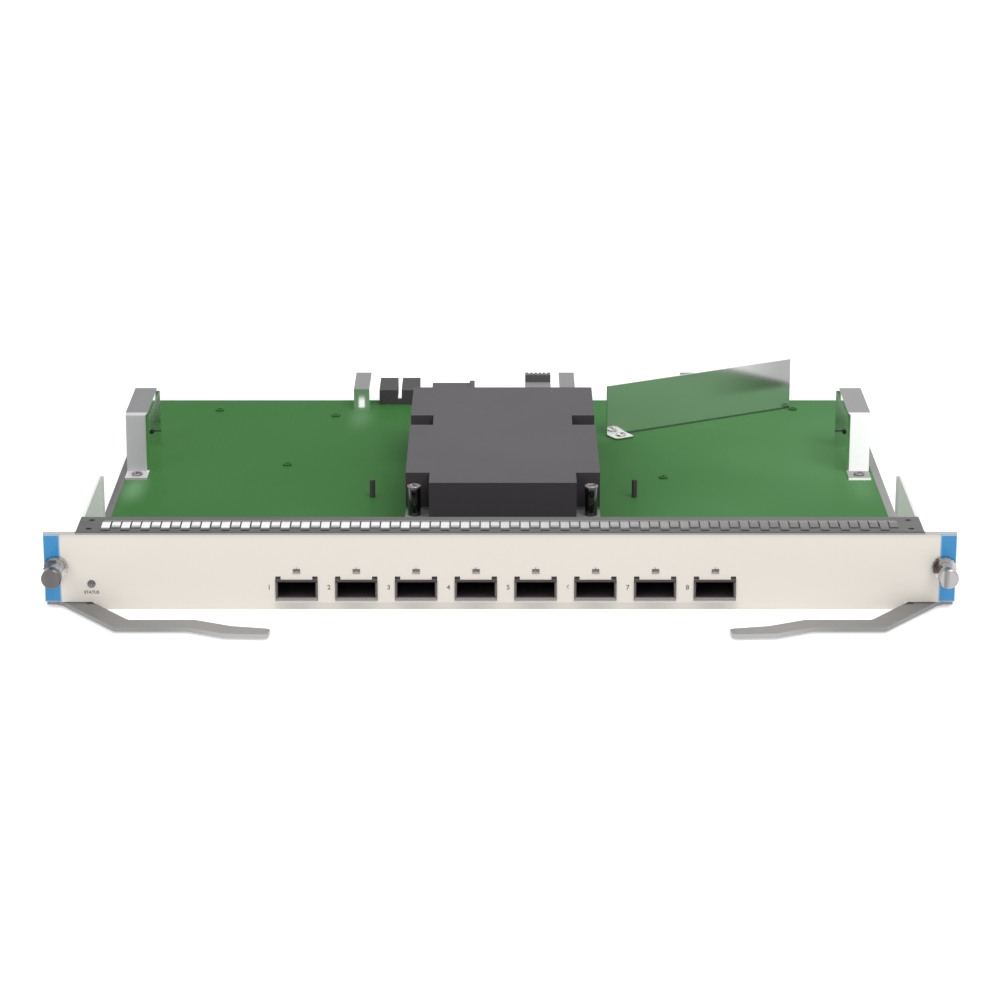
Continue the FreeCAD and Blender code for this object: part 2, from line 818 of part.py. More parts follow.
def coil(radius, wire, turns, length):
    """Compression spring of square wire standing on the origin, in straight steps."""
    count = turns * coil_steps
    rise = (length - 2 * wire) / count
    corners = []
    for i in range(count + 1):
        turn = 2 * math.pi * i / coil_steps
        inner, outer = radius - wire, radius + wire
        ring = []
        for reach, lift in ((inner, 0), (outer, 0), (outer, 2 * wire), (inner, 2 * wire)):
            ring.append(V(reach * math.cos(turn), reach * math.sin(turn), rise * i + lift))
        corners.append(ring)
    faces = [flat_face(corners[0]), flat_face(corners[-1][::-1])]
    for a, b in zip(corners, corners[1:]):
        for k in range(4):
            n = (k + 1) % 4
            if k % 2:
                faces.append(flat_face([a[k], a[n], b[n], b[k]]))
            else:
                faces.append(flat_face([a[k], a[n], b[n]]))
                faces.append(flat_face([a[k], b[n], b[k]]))
    return solid_of(faces)


def flat_face(points):
    """Face inside a closed outline."""
    return Part.Face(Part.makePolygon(points + [points[0]]))


def solid_of(faces):
    """Solid inside a closed set of faces, whichever way round they were drawn."""
    solid = Part.Solid(Part.Shell(faces))
    if solid.Volume < 0:
        solid.reverse()
    return solid


def heat_sink_springs():
    """Tubular spring cups between the sink's base plate and the screw heads."""
    z = (fins_bottom, sink_head_top - sink_head_height)
    cups = []
    for x, y in sink_screw_places():
        cups.append(rod_z(sink_cup_radius, x, y, z).cut(rod_z(sink_cup_radius - sink_cup_wall, x, y, z)))
    return group(cups)


# ---- rear connectors ----

def guide_socket(x):
    """Metal guide block with a lead-in bore open to the rear."""
    half = guide_width / 2
    front = guide_rear - guide_depth
    z_mid = board_top + guide_height / 2
    block = box((x - half, x + half), (front, guide_rear), (board_top, board_top + guide_height))
    bore = rod_y(guide_bore_radius, x, z_mid, (guide_rear - guide_bore_depth, guide_rear + 1))
    block = block.cut(bore)
    rear_edges = edges_where(block, lambda p: near(p.y, guide_rear))
    mouth = [edge for edge in rear_edges if near(edge.BoundBox.XLength, 2 * guide_bore_radius)]
    return block.makeChamfer(guide_lead_in, mouth)


def power_connectors():
    """Two dark headers on one low strip, each with two columns of square cells open to the rear."""
    blocks = []
    cell_y = (connector_rear - power_cell_depth, connector_rear + 1)
    for x in power_centres:
        half = power_width / 2
        z = (board_top, board_top + power_height)
        block = box((x - half, x + half), (connector_front, connector_rear), z)
        cells = []
        for column in (-1, 1):
            for row in (-1, 1):
                cx = x + column * power_width / 4
                cz = board_top + power_height / 2 + row * power_height / 4
                cell = power_cell / 2
                cells.append(box((cx - cell, cx + cell), cell_y, (cz - cell, cz + cell)))
        blocks.append(block.cut(cells))
    link_y = (connector_front, connector_front + power_link_depth)
    blocks.append(box(power_centres, link_y, (board_top, board_top + power_link_height)))
    return join(blocks)


def signal_connector():
    """Wide low connector behind the heat sink, with a raised key at its right end."""
    top = board_top + signal_height
    key_x = (signal_right - signal_tab_width, signal_right)
    body_y = (connector_rear - signal_depth, connector_rear)
    body = box((signal_left, signal_right), body_y, (board_top, top))
    key = box(key_x, (connector_front, connector_rear), (board_top, top + signal_tab_rise))
    cells = []
    half = signal_cell_width / 2
    cell_y = (connector_rear - power_cell_depth, connector_rear + 1)
    cell_z = (board_top + signal_cell_wall, top - signal_cell_wall)
    step = (signal_right - signal_tab_width - signal_left) / signal_columns
    for i in range(signal_columns):
        cx = signal_left + step * (i + 0.5)
        cells.append(box((cx - half, cx + half), cell_y, cell_z))
    return join([body, key]).cut(cells)


def mezzanine_connector():
    """Dark toothed rim that stands along the rear of the tall connector's base."""
    y = (connector_rear - mezzanine_rim_depth, connector_rear)
    z = (board_top + mezzanine_base, board_top + mezzanine_height)
    rim = box((mezzanine_left, mezzanine_right), y, z)
    gaps = []
    half = mezzanine_gap_width / 2
    gap_z = (z[1] - mezzanine_gap_depth, z[1] + 1)
    step = (mezzanine_right - mezzanine_left) / mezzanine_teeth
    for i in range(1, mezzanine_teeth):
        x = mezzanine_left + step * i
        gaps.append(box((x - half, x + half), (y[0] - 1, y[1] + 1), gap_z))
    return rim.cut(gaps)


def mezzanine_foot():
    """Pale base of the tall connector."""
    x = (mezzanine_left, mezzanine_right)
    z = (board_top, board_top + mezzanine_base)
    return box(x, (connector_front, connector_rear), z)


# ---- ejector levers ----

def strip_outline(path, widths):
    """Outline round a bent centre line, with its width given at each point."""
    left, right = [], []
    for i, point in enumerate(path):
        before = (path[i] - path[i - 1]).normalize() if i > 0 else None
        after = (path[i + 1] - path[i]).normalize() if i < len(path) - 1 else None
        first = before or after
        second = after or before
        along = (first + second).normalize()
        across = V(-along.y, along.x, 0)
        stretch = widths[i] / 2 / max(along.dot(second), 0.5)
        left.append(point + across * stretch)
        right.append(point - across * stretch)
    return left + right[::-1]


def ejector_lever():
    """Left lever: pivot boss, slotted claw behind it and a bent flat handle in front."""
    pivot = V(-lever_pivot_x, lever_pivot_y, lever_bottom)
    path = [pivot] + [pivot + V(x, y, 0) for x, y in lever_bends]
    widths = [lever_width] * (len(path) - 1) + [lever_tip_width]
    up = V(0, 0, lever_sheet)
    arm = prism(strip_outline(path, widths), up)
    z = (lever_bottom, lever_top)
    boss = rod_z(lever_boss_radius, pivot.x, pivot.y, z)
    claw_y = (pivot.y - lever_boss_radius * 0.6, pivot.y + claw_half_height)
    claw = box((pivot.x - claw_reach, pivot.x), claw_y, z)
    lever = join([arm, boss, claw])
    corners = [e for e in lever.Edges if near(e.Length, lever_sheet) and e.CenterOfMass.y < -12]
    lever = lever.makeFillet(lever_edge_radius, corners)
    claw_tip = pivot.x - claw_reach
    slot_y = pivot.y + claw_slot_behind
    slot = box((claw_tip - 1, claw_tip + claw_slot_depth),
               (slot_y - claw_slot_width / 2, slot_y + claw_slot_width / 2), (0, lever_top + 1))
    hole = rod_z(pivot_radius + pivot_clearance, pivot.x, pivot.y, (0, lever_top + 1))
    return lever.cut([slot, hole])


def lever_pivot():
    """Shouldered rivet: head under the lever, shank through it, riveted over the bracket."""
    x, y = -lever_pivot_x, lever_pivot_y
    head_top = lever_bottom - slip
    shelf_top = bracket_bottom + bracket_sheet
    head = rod_z(pivot_head_radius, x, y, (head_top - pivot_head_height, head_top))
    shank = rod_z(pivot_radius, x, y, (head_top, shelf_top))
    rivet = rod_z(pivot_rivet_radius, x, y, (shelf_top, shelf_top + pivot_rivet_height))
    return join([head, shank, rivet])


# ---- captive thumbscrews ----

def star_prism(radius, teeth, depth, y):
    """Knurled ring blank about the Y axis, with pointed teeth."""
    points = []
    for i in range(2 * teeth):
        reach = radius if i % 2 == 0 else radius - depth
        turn = math.pi * i / teeth
        points.append(V(reach * math.cos(turn), y[0], reach * math.sin(turn)))
    return prism(points, V(0, y[1] - y[0], 0))


def screw_sleeve():
    """Sleeve pressed into the panel: knurled front ring, bored barrel and rear end wall."""
    ring = star_prism(ring_radius, knurl_teeth, knurl_depth, (ring_front, trim_face))
    barrel = rod_y(sleeve_radius, 0, 0, (ring_front, sleeve_rear))
    bore = rod_y(neck_radius + neck_clearance, 0, 0, (ring_front - 1, sleeve_rear - sleeve_wall))
    end_hole = rod_y(shank_radius + neck_clearance, 0, 0, (0, sleeve_rear + 1))
    return ring.fuse(barrel).cut([bore, end_hole])


def thumbscrew():
    """Plain head, slim neck, relieved shank and a threaded end behind the captive ring."""
    head = rod_y(head_radius, 0, 0, (neck_front - head_length, neck_front))
    front = neck_front - head_length
    head = head.makeChamfer(head_chamfer, [e for e in head.Edges if near(e.BoundBox.YMax, front)])
    neck = rod_y(neck_radius, 0, 0, (neck_front, neck_rear))
    shank = rod_y(shank_radius, 0, 0, (neck_rear, thread_start))
    thread = rod_y(thread_radius, 0, 0, (thread_start, thread_start + thread_length))
    return join([head, neck, shank, thread])


def captive_ring():
    """Ring on the relieved shank, between the sleeve's rear wall and the thread."""
    y = (captive_rear - captive_sheet, captive_rear)
    return rod_y(captive_radius, 0, 0, y).cut(rod_y(shank_radius + pivot_clearance, 0, 0, y))


def screw_spring():
    """Spring in the sleeve that holds the screw out."""
    length = sleeve_rear - sleeve_wall - neck_rear
    radius = (neck_radius + shank_radius) / 2
    spring = coil(radius, spring_wire, spring_turns, length)
    spring.rotate(V(0, 0, 0), V(1, 0, 0), -90)
    spring.translate(V(0, neck_rear, 0))
    return spring


def at_screw(shape, side):
    """Move a piece made about the Y axis to one thumbscrew."""
    placed = shape.copy()
    placed.translate(V(side * screw_x, 0, screw_z))
    return placed


def save_pairs():
    """Everything that the card has on its left and its right."""
    save("left_end_trim", end_trim())
    save("right_end_trim", mirrored(end_trim()))
    save("left_side_plate", side_plate())
    save("right_side_plate", mirrored(side_plate()))
    save("left_lever_bracket", lever_bracket())
    save("right_lever_bracket", mirrored(lever_bracket()))
    save("left_ejector_lever", ejector_lever())
    save("right_ejector_lever", mirrored(ejector_lever()))
    save("left_lever_pivot", lever_pivot())
    save("right_lever_pivot", mirrored(lever_pivot()))
    for side, word in ((-1, "left"), (1, "right")):
        save(word + "_bridge_bracket", bridge_bracket(side))
        save(word + "_screw_sleeve", at_screw(screw_sleeve(), side))
        save(word + "_thumbscrew", at_screw(thumbscrew(), side))
        save(word + "_captive_ring", at_screw(captive_ring(), side))
        save(word + "_screw_spring", at_screw(screw_spring(), side))


def save_card():
    """The panel, the tray, the board and what stands on it."""
    save("front_panel", front_panel())
    save("top_flange", top_flange())
    save("emi_finger_strip", emi_finger_strip())
    save("base_tray", base_tray())
    save("circuit_board", circuit_board())
    save("board_screws", board_screws())
    save("board_posts", board_posts())
    save("bridge_screws", bridge_screws())
    save("bridge_side_screws", bridge_side_screws())
    save("air_baffle", air_baffle())
    save("baffle_screw", baffle_screw())
    for i, x in enumerate(port_centres(), start=1):
        save("port_cage_%d" % i, port_cage(x))
    save("port_connectors", port_connectors())
    save("port_light_pipes", port_light_pipes())
    save("status_light_pipe", status_light_pipe())
    save("board_lights", board_lights())
    save("switch_chip", switch_chip())
    save("heat_sink_base", heat_sink_base())
    save("heat_sink", heat_sink())
    save("heat_sink_screws", heat_sink_screws())
    save("heat_sink_springs", heat_sink_springs())
    for x, word in zip(guide_centres, ("left", "middle", "right")):
        save(word + "_guide_socket", guide_socket(x))
    save("power_connectors", power_connectors())
    save("signal_connector", signal_connector())
    save("mezzanine_connector", mezzanine_connector())
    save("mezzanine_foot", mezzanine_foot())


os.makedirs("parts", exist_ok=True)
save_card()
save_pairs()
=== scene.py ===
"""Looks for a switch line card: finishes, fasteners, springs, marks, a studio and a camera."""

import logging
import math
from dataclasses import dataclass, field
from enum import Enum
from typing import Callable, Dict, List, Optional, Sequence, Tuple, Union

import bmesh
import bpy
from mathutils import Matrix, Vector


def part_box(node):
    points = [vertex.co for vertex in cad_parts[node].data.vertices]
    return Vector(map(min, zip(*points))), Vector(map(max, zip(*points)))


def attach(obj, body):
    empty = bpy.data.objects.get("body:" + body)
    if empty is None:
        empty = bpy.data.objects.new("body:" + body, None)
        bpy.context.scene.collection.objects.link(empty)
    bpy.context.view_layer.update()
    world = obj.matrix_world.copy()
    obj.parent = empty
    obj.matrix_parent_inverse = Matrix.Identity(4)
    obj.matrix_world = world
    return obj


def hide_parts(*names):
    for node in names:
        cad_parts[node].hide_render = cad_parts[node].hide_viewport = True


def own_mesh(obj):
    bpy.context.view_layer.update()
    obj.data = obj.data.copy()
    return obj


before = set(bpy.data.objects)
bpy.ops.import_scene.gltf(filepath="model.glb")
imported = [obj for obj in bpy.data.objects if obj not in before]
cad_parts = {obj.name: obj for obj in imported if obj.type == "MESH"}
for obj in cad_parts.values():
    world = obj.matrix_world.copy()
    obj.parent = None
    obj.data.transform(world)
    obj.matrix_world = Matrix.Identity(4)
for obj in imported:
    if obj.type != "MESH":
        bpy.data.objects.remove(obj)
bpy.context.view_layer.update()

Colour = Tuple[float, float, float]
Point = Tuple[float, float, float]
Pair = Tuple[float, float]
Piece = bpy.types.Object
Mesh = bmesh.types.BMesh
Verts = List[bmesh.types.BMVert]

LOG = logging.getLogger("line_card")

# The body that every added piece rides on, and what the card has more than one of.
CARD = "card"
SIDES = ("left", "right")
PORTS = range(1, 9)

# Metres: a soft edge between two tones, and how near points are taken as one in added
# meshes and in CAD ones.
MM = 0.001
HAIR = 0.1 * MM
WELD = 1e-7
TOUCH = 1e-6

BLACK: Colour = (0.0, 0.0, 0.0)
WHITE: Colour = (1.0, 1.0, 1.0)
FROST: Colour = (0.8, 0.8, 0.8)

# Limits of smooth steps on a part of a face's normal.
FRONT = (-0.9, -0.98)
TOP = (0.9, 0.98)

# Limits of smooth steps on random values about one half.
WIDE = (0.2, 0.8)
MIDDLE = (0.3, 0.7)
CLOUDS = (0.35, 0.65)
SPECKS = (0.35, 0.75)
STREAKS = (0.4, 0.8)
PORES = (0.45, 0.8)

# Scales of the axes of a random pattern, for grain that runs one way.
EVEN = (1.0, 1.0, 1.0)
ALONG_X = (1.0, 60.0, 60.0)
ALONG_Y = (60.0, 1.0, 60.0)
ALONG_Z = (60.0, 60.0, 1.0)
UPRIGHT = (1.0, 0.02, 0.02)


class Grain(Enum):
    """Random patterns: waves in a metre, finer layers and the scale of each axis."""

    PAINT_CLOUD = (9.0, 3.0, EVEN)
    PAINT_PEEL = (2600.0, 1.0, EVEN)
    ENAMEL = (1500.0, 2.0, EVEN)
    ROLLED_X = (22.0, 4.0, ALONG_X)
    ROLLED_Y = (22.0, 4.0, ALONG_Y)
    PLATING = (55.0, 4.0, EVEN)
    FOLDED = (24.0, 3.0, ALONG_Z)
    BLOCK = (60.0, 3.0, EVEN)
    FINGER = (30.0, 3.0, ALONG_Y)
    CAGE = (26.0, 3.0, ALONG_Y)
    TURNED = (900.0, 3.0, EVEN)
    KNOB = (900.0, 2.0, EVEN)
    KNOB_BANDS = (330.0, 1.0, UPRIGHT)
    TRACE_TURN = (17.0, 1.0, EVEN)
    TRACE_ZONE = (38.0, 2.0, EVEN)
    MASK_CLOUD = (6.0, 2.0, EVEN)
    GRIT = (3000.0, 2.0, EVEN)
    CLOUD = (14.0, 3.0, EVEN)
    FROSTED = (2400.0, 2.0, EVEN)
    INK = (4200.0, 2.0, EVEN)


def srgb(red: float, green: float, blue: float) -> Colour:
    """Turn a colour seen on a screen, 0 to 255, into the linear one that a shader takes.

    Args:
        red: Screen red.
        green: Screen green.
        blue: Screen blue.

    Returns:
        The linear colour.
    """
    shares = (channel / 255 for channel in (red, green, blue))
    return tuple(share / 12.92 if share <= 0.04045 else ((share + 0.055) / 1.055) ** 2.4
                 for share in shares)


def scaled(colour: Colour, share: float) -> Colour:
    """A colour made lighter or darker, kept within what a surface can reflect."""
    return tuple(min(0.98, share * channel) for channel in colour)


# ---- shader graphs ----


class Wire:
    """A node's output that can be used in expressions, each operator adding a Math node."""

    def __init__(self, graph: "Nodes", socket: bpy.types.NodeSocket) -> None:
        """Keep the socket and the tree that it is in."""
        self.graph = graph
        self.socket = socket

    def maths(self, operation: str, first: "Term", second: "Term" = 0.0) -> "Wire":
        """The result of a Math node on two values."""
        return self.graph.node("ShaderNodeMath", {"operation": operation}, {0: first, 1: second})

    def __add__(self, other: "Term") -> "Wire":
        """Sum."""
        return self.maths("ADD", self, other)

    def __radd__(self, other: "Term") -> "Wire":
        """Sum with a number first."""
        return self.maths("ADD", other, self)

    def __sub__(self, other: "Term") -> "Wire":
        """Difference."""
        return self.maths("SUBTRACT", self, other)

    def __rsub__(self, other: "Term") -> "Wire":
        """Difference with a number first."""
        return self.maths("SUBTRACT", other, self)

    def __mul__(self, other: "Term") -> "Wire":
        """Product."""
        return self.maths("MULTIPLY", self, other)

    def __rmul__(self, other: "Term") -> "Wire":
        """Product with a number first."""
        return self.maths("MULTIPLY", other, self)

    def size(self) -> "Wire":
        """The value without its sign."""
        return self.maths("ABSOLUTE", self)

    def larger(self, other: "Term") -> "Wire":
        """The larger of two values."""
        return self.maths("MAXIMUM", self, other)

    def ramp(self, low: float, high: float, start: float = 0.0, end: float = 1.0) -> "Wire":
        """Stretch the values between two limits onto another span, smoothly and clamped.

        Args:
            low: The value that gives the start.
            high: The value that gives the end.
            start: The result at the low limit.
            end: The result at the high limit.

        Returns:
            The stretched value.
        """
        settings = {"interpolation_type": "SMOOTHSTEP"}
        inputs = {"Value": self, "From Min": low, "From Max": high, "To Min": start, "To Max": end}
        return self.graph.node("ShaderNodeMapRange", settings, inputs, "Result")

    def step(self, edge: float, half: float) -> "Wire":
        """One past an edge and nought before it, the other way round for a negative half width."""
        return self.ramp(edge - half, edge + half)


Term = Union[Wire, int, float]


class Nodes:
    """A node tree, with one method for every node that isn't maths on sockets."""

    def __init__(self, tree: bpy.types.NodeTree) -> None:
        """Start from an empty tree."""
        self.tree = tree
        self.tree.nodes.clear()

    def node(self, kind: str, settings: Dict[str, object], inputs: Dict[Union[str, int], object],
             output: Optional[Union[str, int]] = 0) -> Optional[Wire]:
        """Add any node.

        Args:
            kind: The node's type.
            settings: Its properties, which are set first.
            inputs: A value or a link for each socket, by name or number.
            output: The output to hand back, or None.

        Returns:
            That output.
        """
        made = self.tree.nodes.new(kind)
        for key, value in settings.items():
            setattr(made, key, value)
        for key, value in inputs.items():
            self.feed(made.inputs[key], value)
        return None if output is None else Wire(self, made.outputs[output])

    def feed(self, socket: bpy.types.NodeSocket, value: object) -> None:
        """Link a wire to a socket, or set the socket's own value.

        Args:
            socket: The socket.
            value: A wire, a number, a colour or a vector.
        """
        if isinstance(value, Wire):
            self.tree.links.new(value.socket, socket)
        elif isinstance(value, tuple) and len(value) == 3 and socket.type == "RGBA":
            socket.default_value = (*value, 1.0)
        else:
            socket.default_value = value


class Graph(Nodes):
    """A material's node tree round one Principled shader."""

    def __init__(self, name: str, slot: str) -> None:
        """Make the material.

        Args:
            name: The material's name.
            slot: The record's material slot.
        """
        self.material = bpy.data.materials.new(name)
        self.material.use_nodes = True
        self.material["slot"] = slot
        super().__init__(self.material.node_tree)
        shader = self.node("ShaderNodeBsdfPrincipled", {}, {}, "BSDF")
        self.shader = shader.socket.node
        self.node("ShaderNodeOutputMaterial", {}, {"Surface": shader}, None)

    def surface(self, **inputs: object) -> None:
        """Set or link the Principled shader's sockets, named with underscores for spaces."""
        for key, value in inputs.items():
            self.feed(self.shader.inputs[key.replace("_", " ")], value)

    def place(self) -> Wire:
        """Position on the object, in metres in the card's own frame."""
        return self.node("ShaderNodeTexCoord", {}, {}, "Object")

    def axes(self) -> Tuple[Wire, Wire, Wire]:
        """The three parts of the position."""
        return self.parts(self.place())

    def facing(self) -> Tuple[Wire, Wire, Wire]:
        """The three parts of the surface's normal."""
        return self.parts(self.node("ShaderNodeNewGeometry", {}, {}, "Normal"))

    def parts(self, vector: Wire) -> Tuple[Wire, Wire, Wire]:
        """The three parts of a vector."""
        outputs = self.node("ShaderNodeSeparateXYZ", {}, {0: vector}).socket.node.outputs
        return Wire(self, outputs["X"]), Wire(self, outputs["Y"]), Wire(self, outputs["Z"])

    def noise(self, grain: Grain) -> Wire:
        """Smooth random values about one half.

        Args:
            grain: The pattern.

        Returns:
            The value.
        """
        scale, detail, stretch = grain.value
        stretched = self.node("ShaderNodeVectorMath", {"operation": "MULTIPLY"},
                              {0: self.place(), 1: stretch}, "Vector")
        inputs = {"Vector": stretched, "Scale": scale, "Detail": detail}
        return self.node("ShaderNodeTexNoise", {}, inputs, "Fac")

    def blend(self, share: Term, first: object, second: object) -> Wire:
        """Mix two colours.

        Args:
            share: How much of the second.
            first: A colour or a wire.
            second: A colour or a wire.

        Returns:
            The mixed colour.
        """
        inputs = {0: share, 6: first, 7: second}
        return self.node("ShaderNodeMix", {"data_type": "RGBA"}, inputs, 2)

    def relief(self, height: Wire, depth: float, strength: float = 1.0) -> None:
        """Bump the surface.

        Args:
            height: The relief, nought to one.
            depth: Its depth in metres.
            strength: How much of it shows.
        """
        inputs = {"Height": height, "Distance": depth, "Strength": strength}
        self.surface(Normal=self.node("ShaderNodeBump", {}, inputs, "Normal"))


# ---- finishes ----


@dataclass(frozen=True)
class Finish:
    """What every finish has: a name and the record's slot."""

    name: str
    slot: str

    def make(self) -> bpy.types.Material:
        """Build the material.

        Returns:
            The material.
        """
        graph = Graph(self.name, self.slot)
        self.draw(graph)
        return graph.material

    def draw(self, graph: Graph) -> None:
        """Add this finish's nodes.

        Args:
            graph: The material's nodes.
        """
        raise NotImplementedError


@dataclass(frozen=True)
class PanelPaint(Finish):
    """Warm powder coat, painted lighter towards the ends, with painted shade under the ports and
    at the lower corners and darker towards the top; its top edge is bare grey.
    """

    colour: Colour
    edge: Colour
    top: Colour
    shade: Colour
    height: float
    half_width: float
    ports: Pair
    port_count: int = len(PORTS)
    bare_band: float = 0.9 * MM
    fade: float = 2.2 * MM
    # Height of the painted shade under the ports.
    soil_height: float = 3.3 * MM
    foot: Pair = (9.0 * MM, 1.0 * MM)
    trim: Pair = (13.6 * MM, 14.2 * MM)

    def draw(self, graph: Graph) -> None:
        """Add this finish's nodes.

        Args:
            graph: The material's nodes.
        """
        x, _, z = graph.axes()
        _, _, facing_z = graph.facing()
        out, half = x.size(), self.half_width
        # Painted light: the paint is brighter towards the panel's ends.
        paint = graph.blend(out.ramp(0.3 * half, 0.85 * half), self.colour,
                            scaled(self.colour, 1.06))
        cloud = graph.noise(Grain.PAINT_CLOUD).ramp(*CLOUDS, 0.0, 0.06)
        # Painted shade at the panel's lower corners.
        low = z.ramp(*self.foot) * out.ramp(half - 75 * MM, half - 10 * MM) * 0.25
        band = self.height - self.bare_band
        # Darker towards the top edge.
        darker_to_top = z.ramp(band - self.fade, band, 0.0, 0.35)
        # The third share is the painted shade under the ports.
        for share in (cloud, low, self.soil(x, z), darker_to_top):
            paint = graph.blend(share, paint, self.shade)
        inside = out.ramp(half - self.trim[0], half - self.trim[1])
        edge = graph.blend(inside, scaled(self.edge, 1.5), self.edge)
        paint = graph.blend(z.step(band, HAIR), paint, edge)
        paint = graph.blend(facing_z.ramp(0.6, 0.9) * inside, paint, self.top)
        peel = graph.noise(Grain.PAINT_PEEL)
        graph.surface(Base_Color=paint, Roughness=peel.ramp(*MIDDLE, 0.5, 0.62),
                      Specular_IOR_Level=0.15)
        graph.relief(peel, 0.03 * MM, 0.3)

    def soil(self, x: Wire, z: Wire) -> Wire:
        """Painted shade along the panel's foot, strongest under the middle of each port.

        Args:
            x: Place along the panel.
            z: Height.

        Returns:
            How much painted shade there is.
        """
        first, last = self.ports
        middle, half = (first + last) / 2, (last - first) / 2
        pitch = (last - first) / (self.port_count - 1)
        reach = (x - middle).size().ramp(half + 0.45 * pitch, half + 0.3 * pitch)
        wave = x.maths("COSINE", (x - first) * (math.tau / pitch))
        return z.ramp(self.soil_height, self.soil_height - 0.6 * MM) * reach * (wave * 0.25 + 0.7)


@dataclass(frozen=True)
class TrimEnamel(Finish):
    """Glossy blue enamel with a painted highlight on its chamfered edges."""

    colour: Colour
    bevel: Colour

    def draw(self, graph: Graph) -> None:
        """Add this finish's nodes.

        Args:
            graph: The material's nodes.
        """
        _, facing_y, _ = graph.facing()
        speck = graph.noise(Grain.ENAMEL)
        face = graph.blend(speck.ramp(*MIDDLE), self.colour, scaled(self.colour, 0.94))
        # Painted highlight: the sloped chamfer faces take the paler colour.
        sloped = facing_y.size().ramp(0.97, 0.75)
        graph.surface(Base_Color=graph.blend(sloped, face, self.bevel), Coat_Weight=0.3,
                      Roughness=speck.ramp(*WIDE, 0.28, 0.4), Specular_IOR_Level=0.35)
        graph.relief(speck, 0.02 * MM, 0.25)


@dataclass(frozen=True)
class SheetMetal(Finish):
    """Rolled sheet with fine streaks and a cloudy plating, with painted light that makes it paler
    towards the right.
    """

    colour: Colour
    grain: Grain
    rough: float
    metal: float
    right_share: float
    mottle: float = 0.08
    streak: float = 0.12
    span: Pair = (-0.18, 0.18)

    def draw(self, graph: Graph) -> None:
        """Add this finish's nodes.

        Args:
            graph: The material's nodes.
        """
        x, _, _ = graph.axes()
        lines = graph.noise(self.grain)
        dull, pale, streaked, right = (scaled(self.colour, share) for share in (
            1 - self.mottle, 1 + self.mottle, 1 - self.streak, self.right_share))
        body = graph.blend(graph.noise(Grain.PLATING).ramp(*MIDDLE), dull, pale)
        body = graph.blend(lines.ramp(*PORES, 0.0, 0.5), body, streaked)
        # Painted light: paler towards the right.
        body = graph.blend(x.ramp(*self.span), body, right)
        graph.surface(Base_Color=body, Metallic=self.metal,
                      Roughness=lines.ramp(*WIDE, self.rough - 0.06, self.rough + 0.08))
        graph.relief(lines, 0.02 * MM, 0.25)


@dataclass(frozen=True)
class FoldedSheet(Finish):
    """Folded sheet: satin on its front, top and foot, a mirror where it is folded in; its front,
    top and foot tones are painted light and shade, with a painted highlight on the folded edge.
    """

    front: Colour
    top: Colour
    foot: Colour
    inner: Colour
    front_reach: float
    front_metal: float = 0.3
    mirror: float = 1.0
    bend: float = 1.25
    inner_rough: float = 0.1
    streak_depth: float = 0.0015 * MM
    foot_top: float = 6.0 * MM
    line_top: float = 0.0
    lean: float = 0.0
    glow: float = 0.0
    inner_glow: Colour = BLACK
    right_share: float = 1.0
    span: Pair = (0.0, 1.0)
    lift: Pair = (-1.0, 0.0)

    def draw(self, graph: Graph) -> None:
        """Add this finish's nodes.

        Args:
            graph: The material's nodes.
        """
        x, y, z = graph.axes()
        _, facing_y, facing_z = graph.facing()
        near = y.ramp(self.front_reach + 0.2 * MM, self.front_reach)
        front = facing_y.ramp(*FRONT) * near
        top = facing_z.ramp(*TOP)
        folded = (facing_y * facing_z).ramp(-0.1, -0.3) * near
        satin = front.larger(top).larger(folded)
        lines = graph.noise(Grain.FOLDED)
        # Painted reflection: the inner face is darker towards the right and higher up, where span
        # and lift reach.
        right = x.ramp(*self.span) * z.ramp(*self.lift)
        inner = graph.blend(right, self.inner, scaled(self.inner, self.right_share))
        # Painted shadow line along the foot of the inner face.
        line = z.ramp(self.line_top + HAIR, self.line_top)
        inner = graph.blend(line, inner, scaled(self.inner, 0.4))
        # The front, top and foot tones are painted light and shade on one sheet, and the folded
        # edge gets a painted highlight.
        level = graph.blend(z.ramp(self.foot_top + 0.5 * MM, self.foot_top), self.top, self.foot)
        upright = graph.blend(front, scaled(self.front, self.bend), self.front)
        outer = graph.blend(top, upright, level)
        outer = graph.blend(lines.ramp(*STREAKS, 0.0, 0.12), outer, scaled(self.front, 0.8))
        graph.surface(Base_Color=graph.blend(satin, inner, outer),
                      Metallic=satin.ramp(0.0, 1.0, self.mirror, self.front_metal),
                      Roughness=satin.ramp(0.0, 1.0, self.inner_rough, 0.45) + lines * 0.05)
        # Painted glow: the front glows white and the inner face glows in inner_glow.
        if self.glow:
            graph.surface(Emission_Color=graph.blend(front, self.inner_glow, WHITE),
                          Emission_Strength=self.glow)
        graph.relief(z * self.lean + lines * self.streak_depth, 1.0)


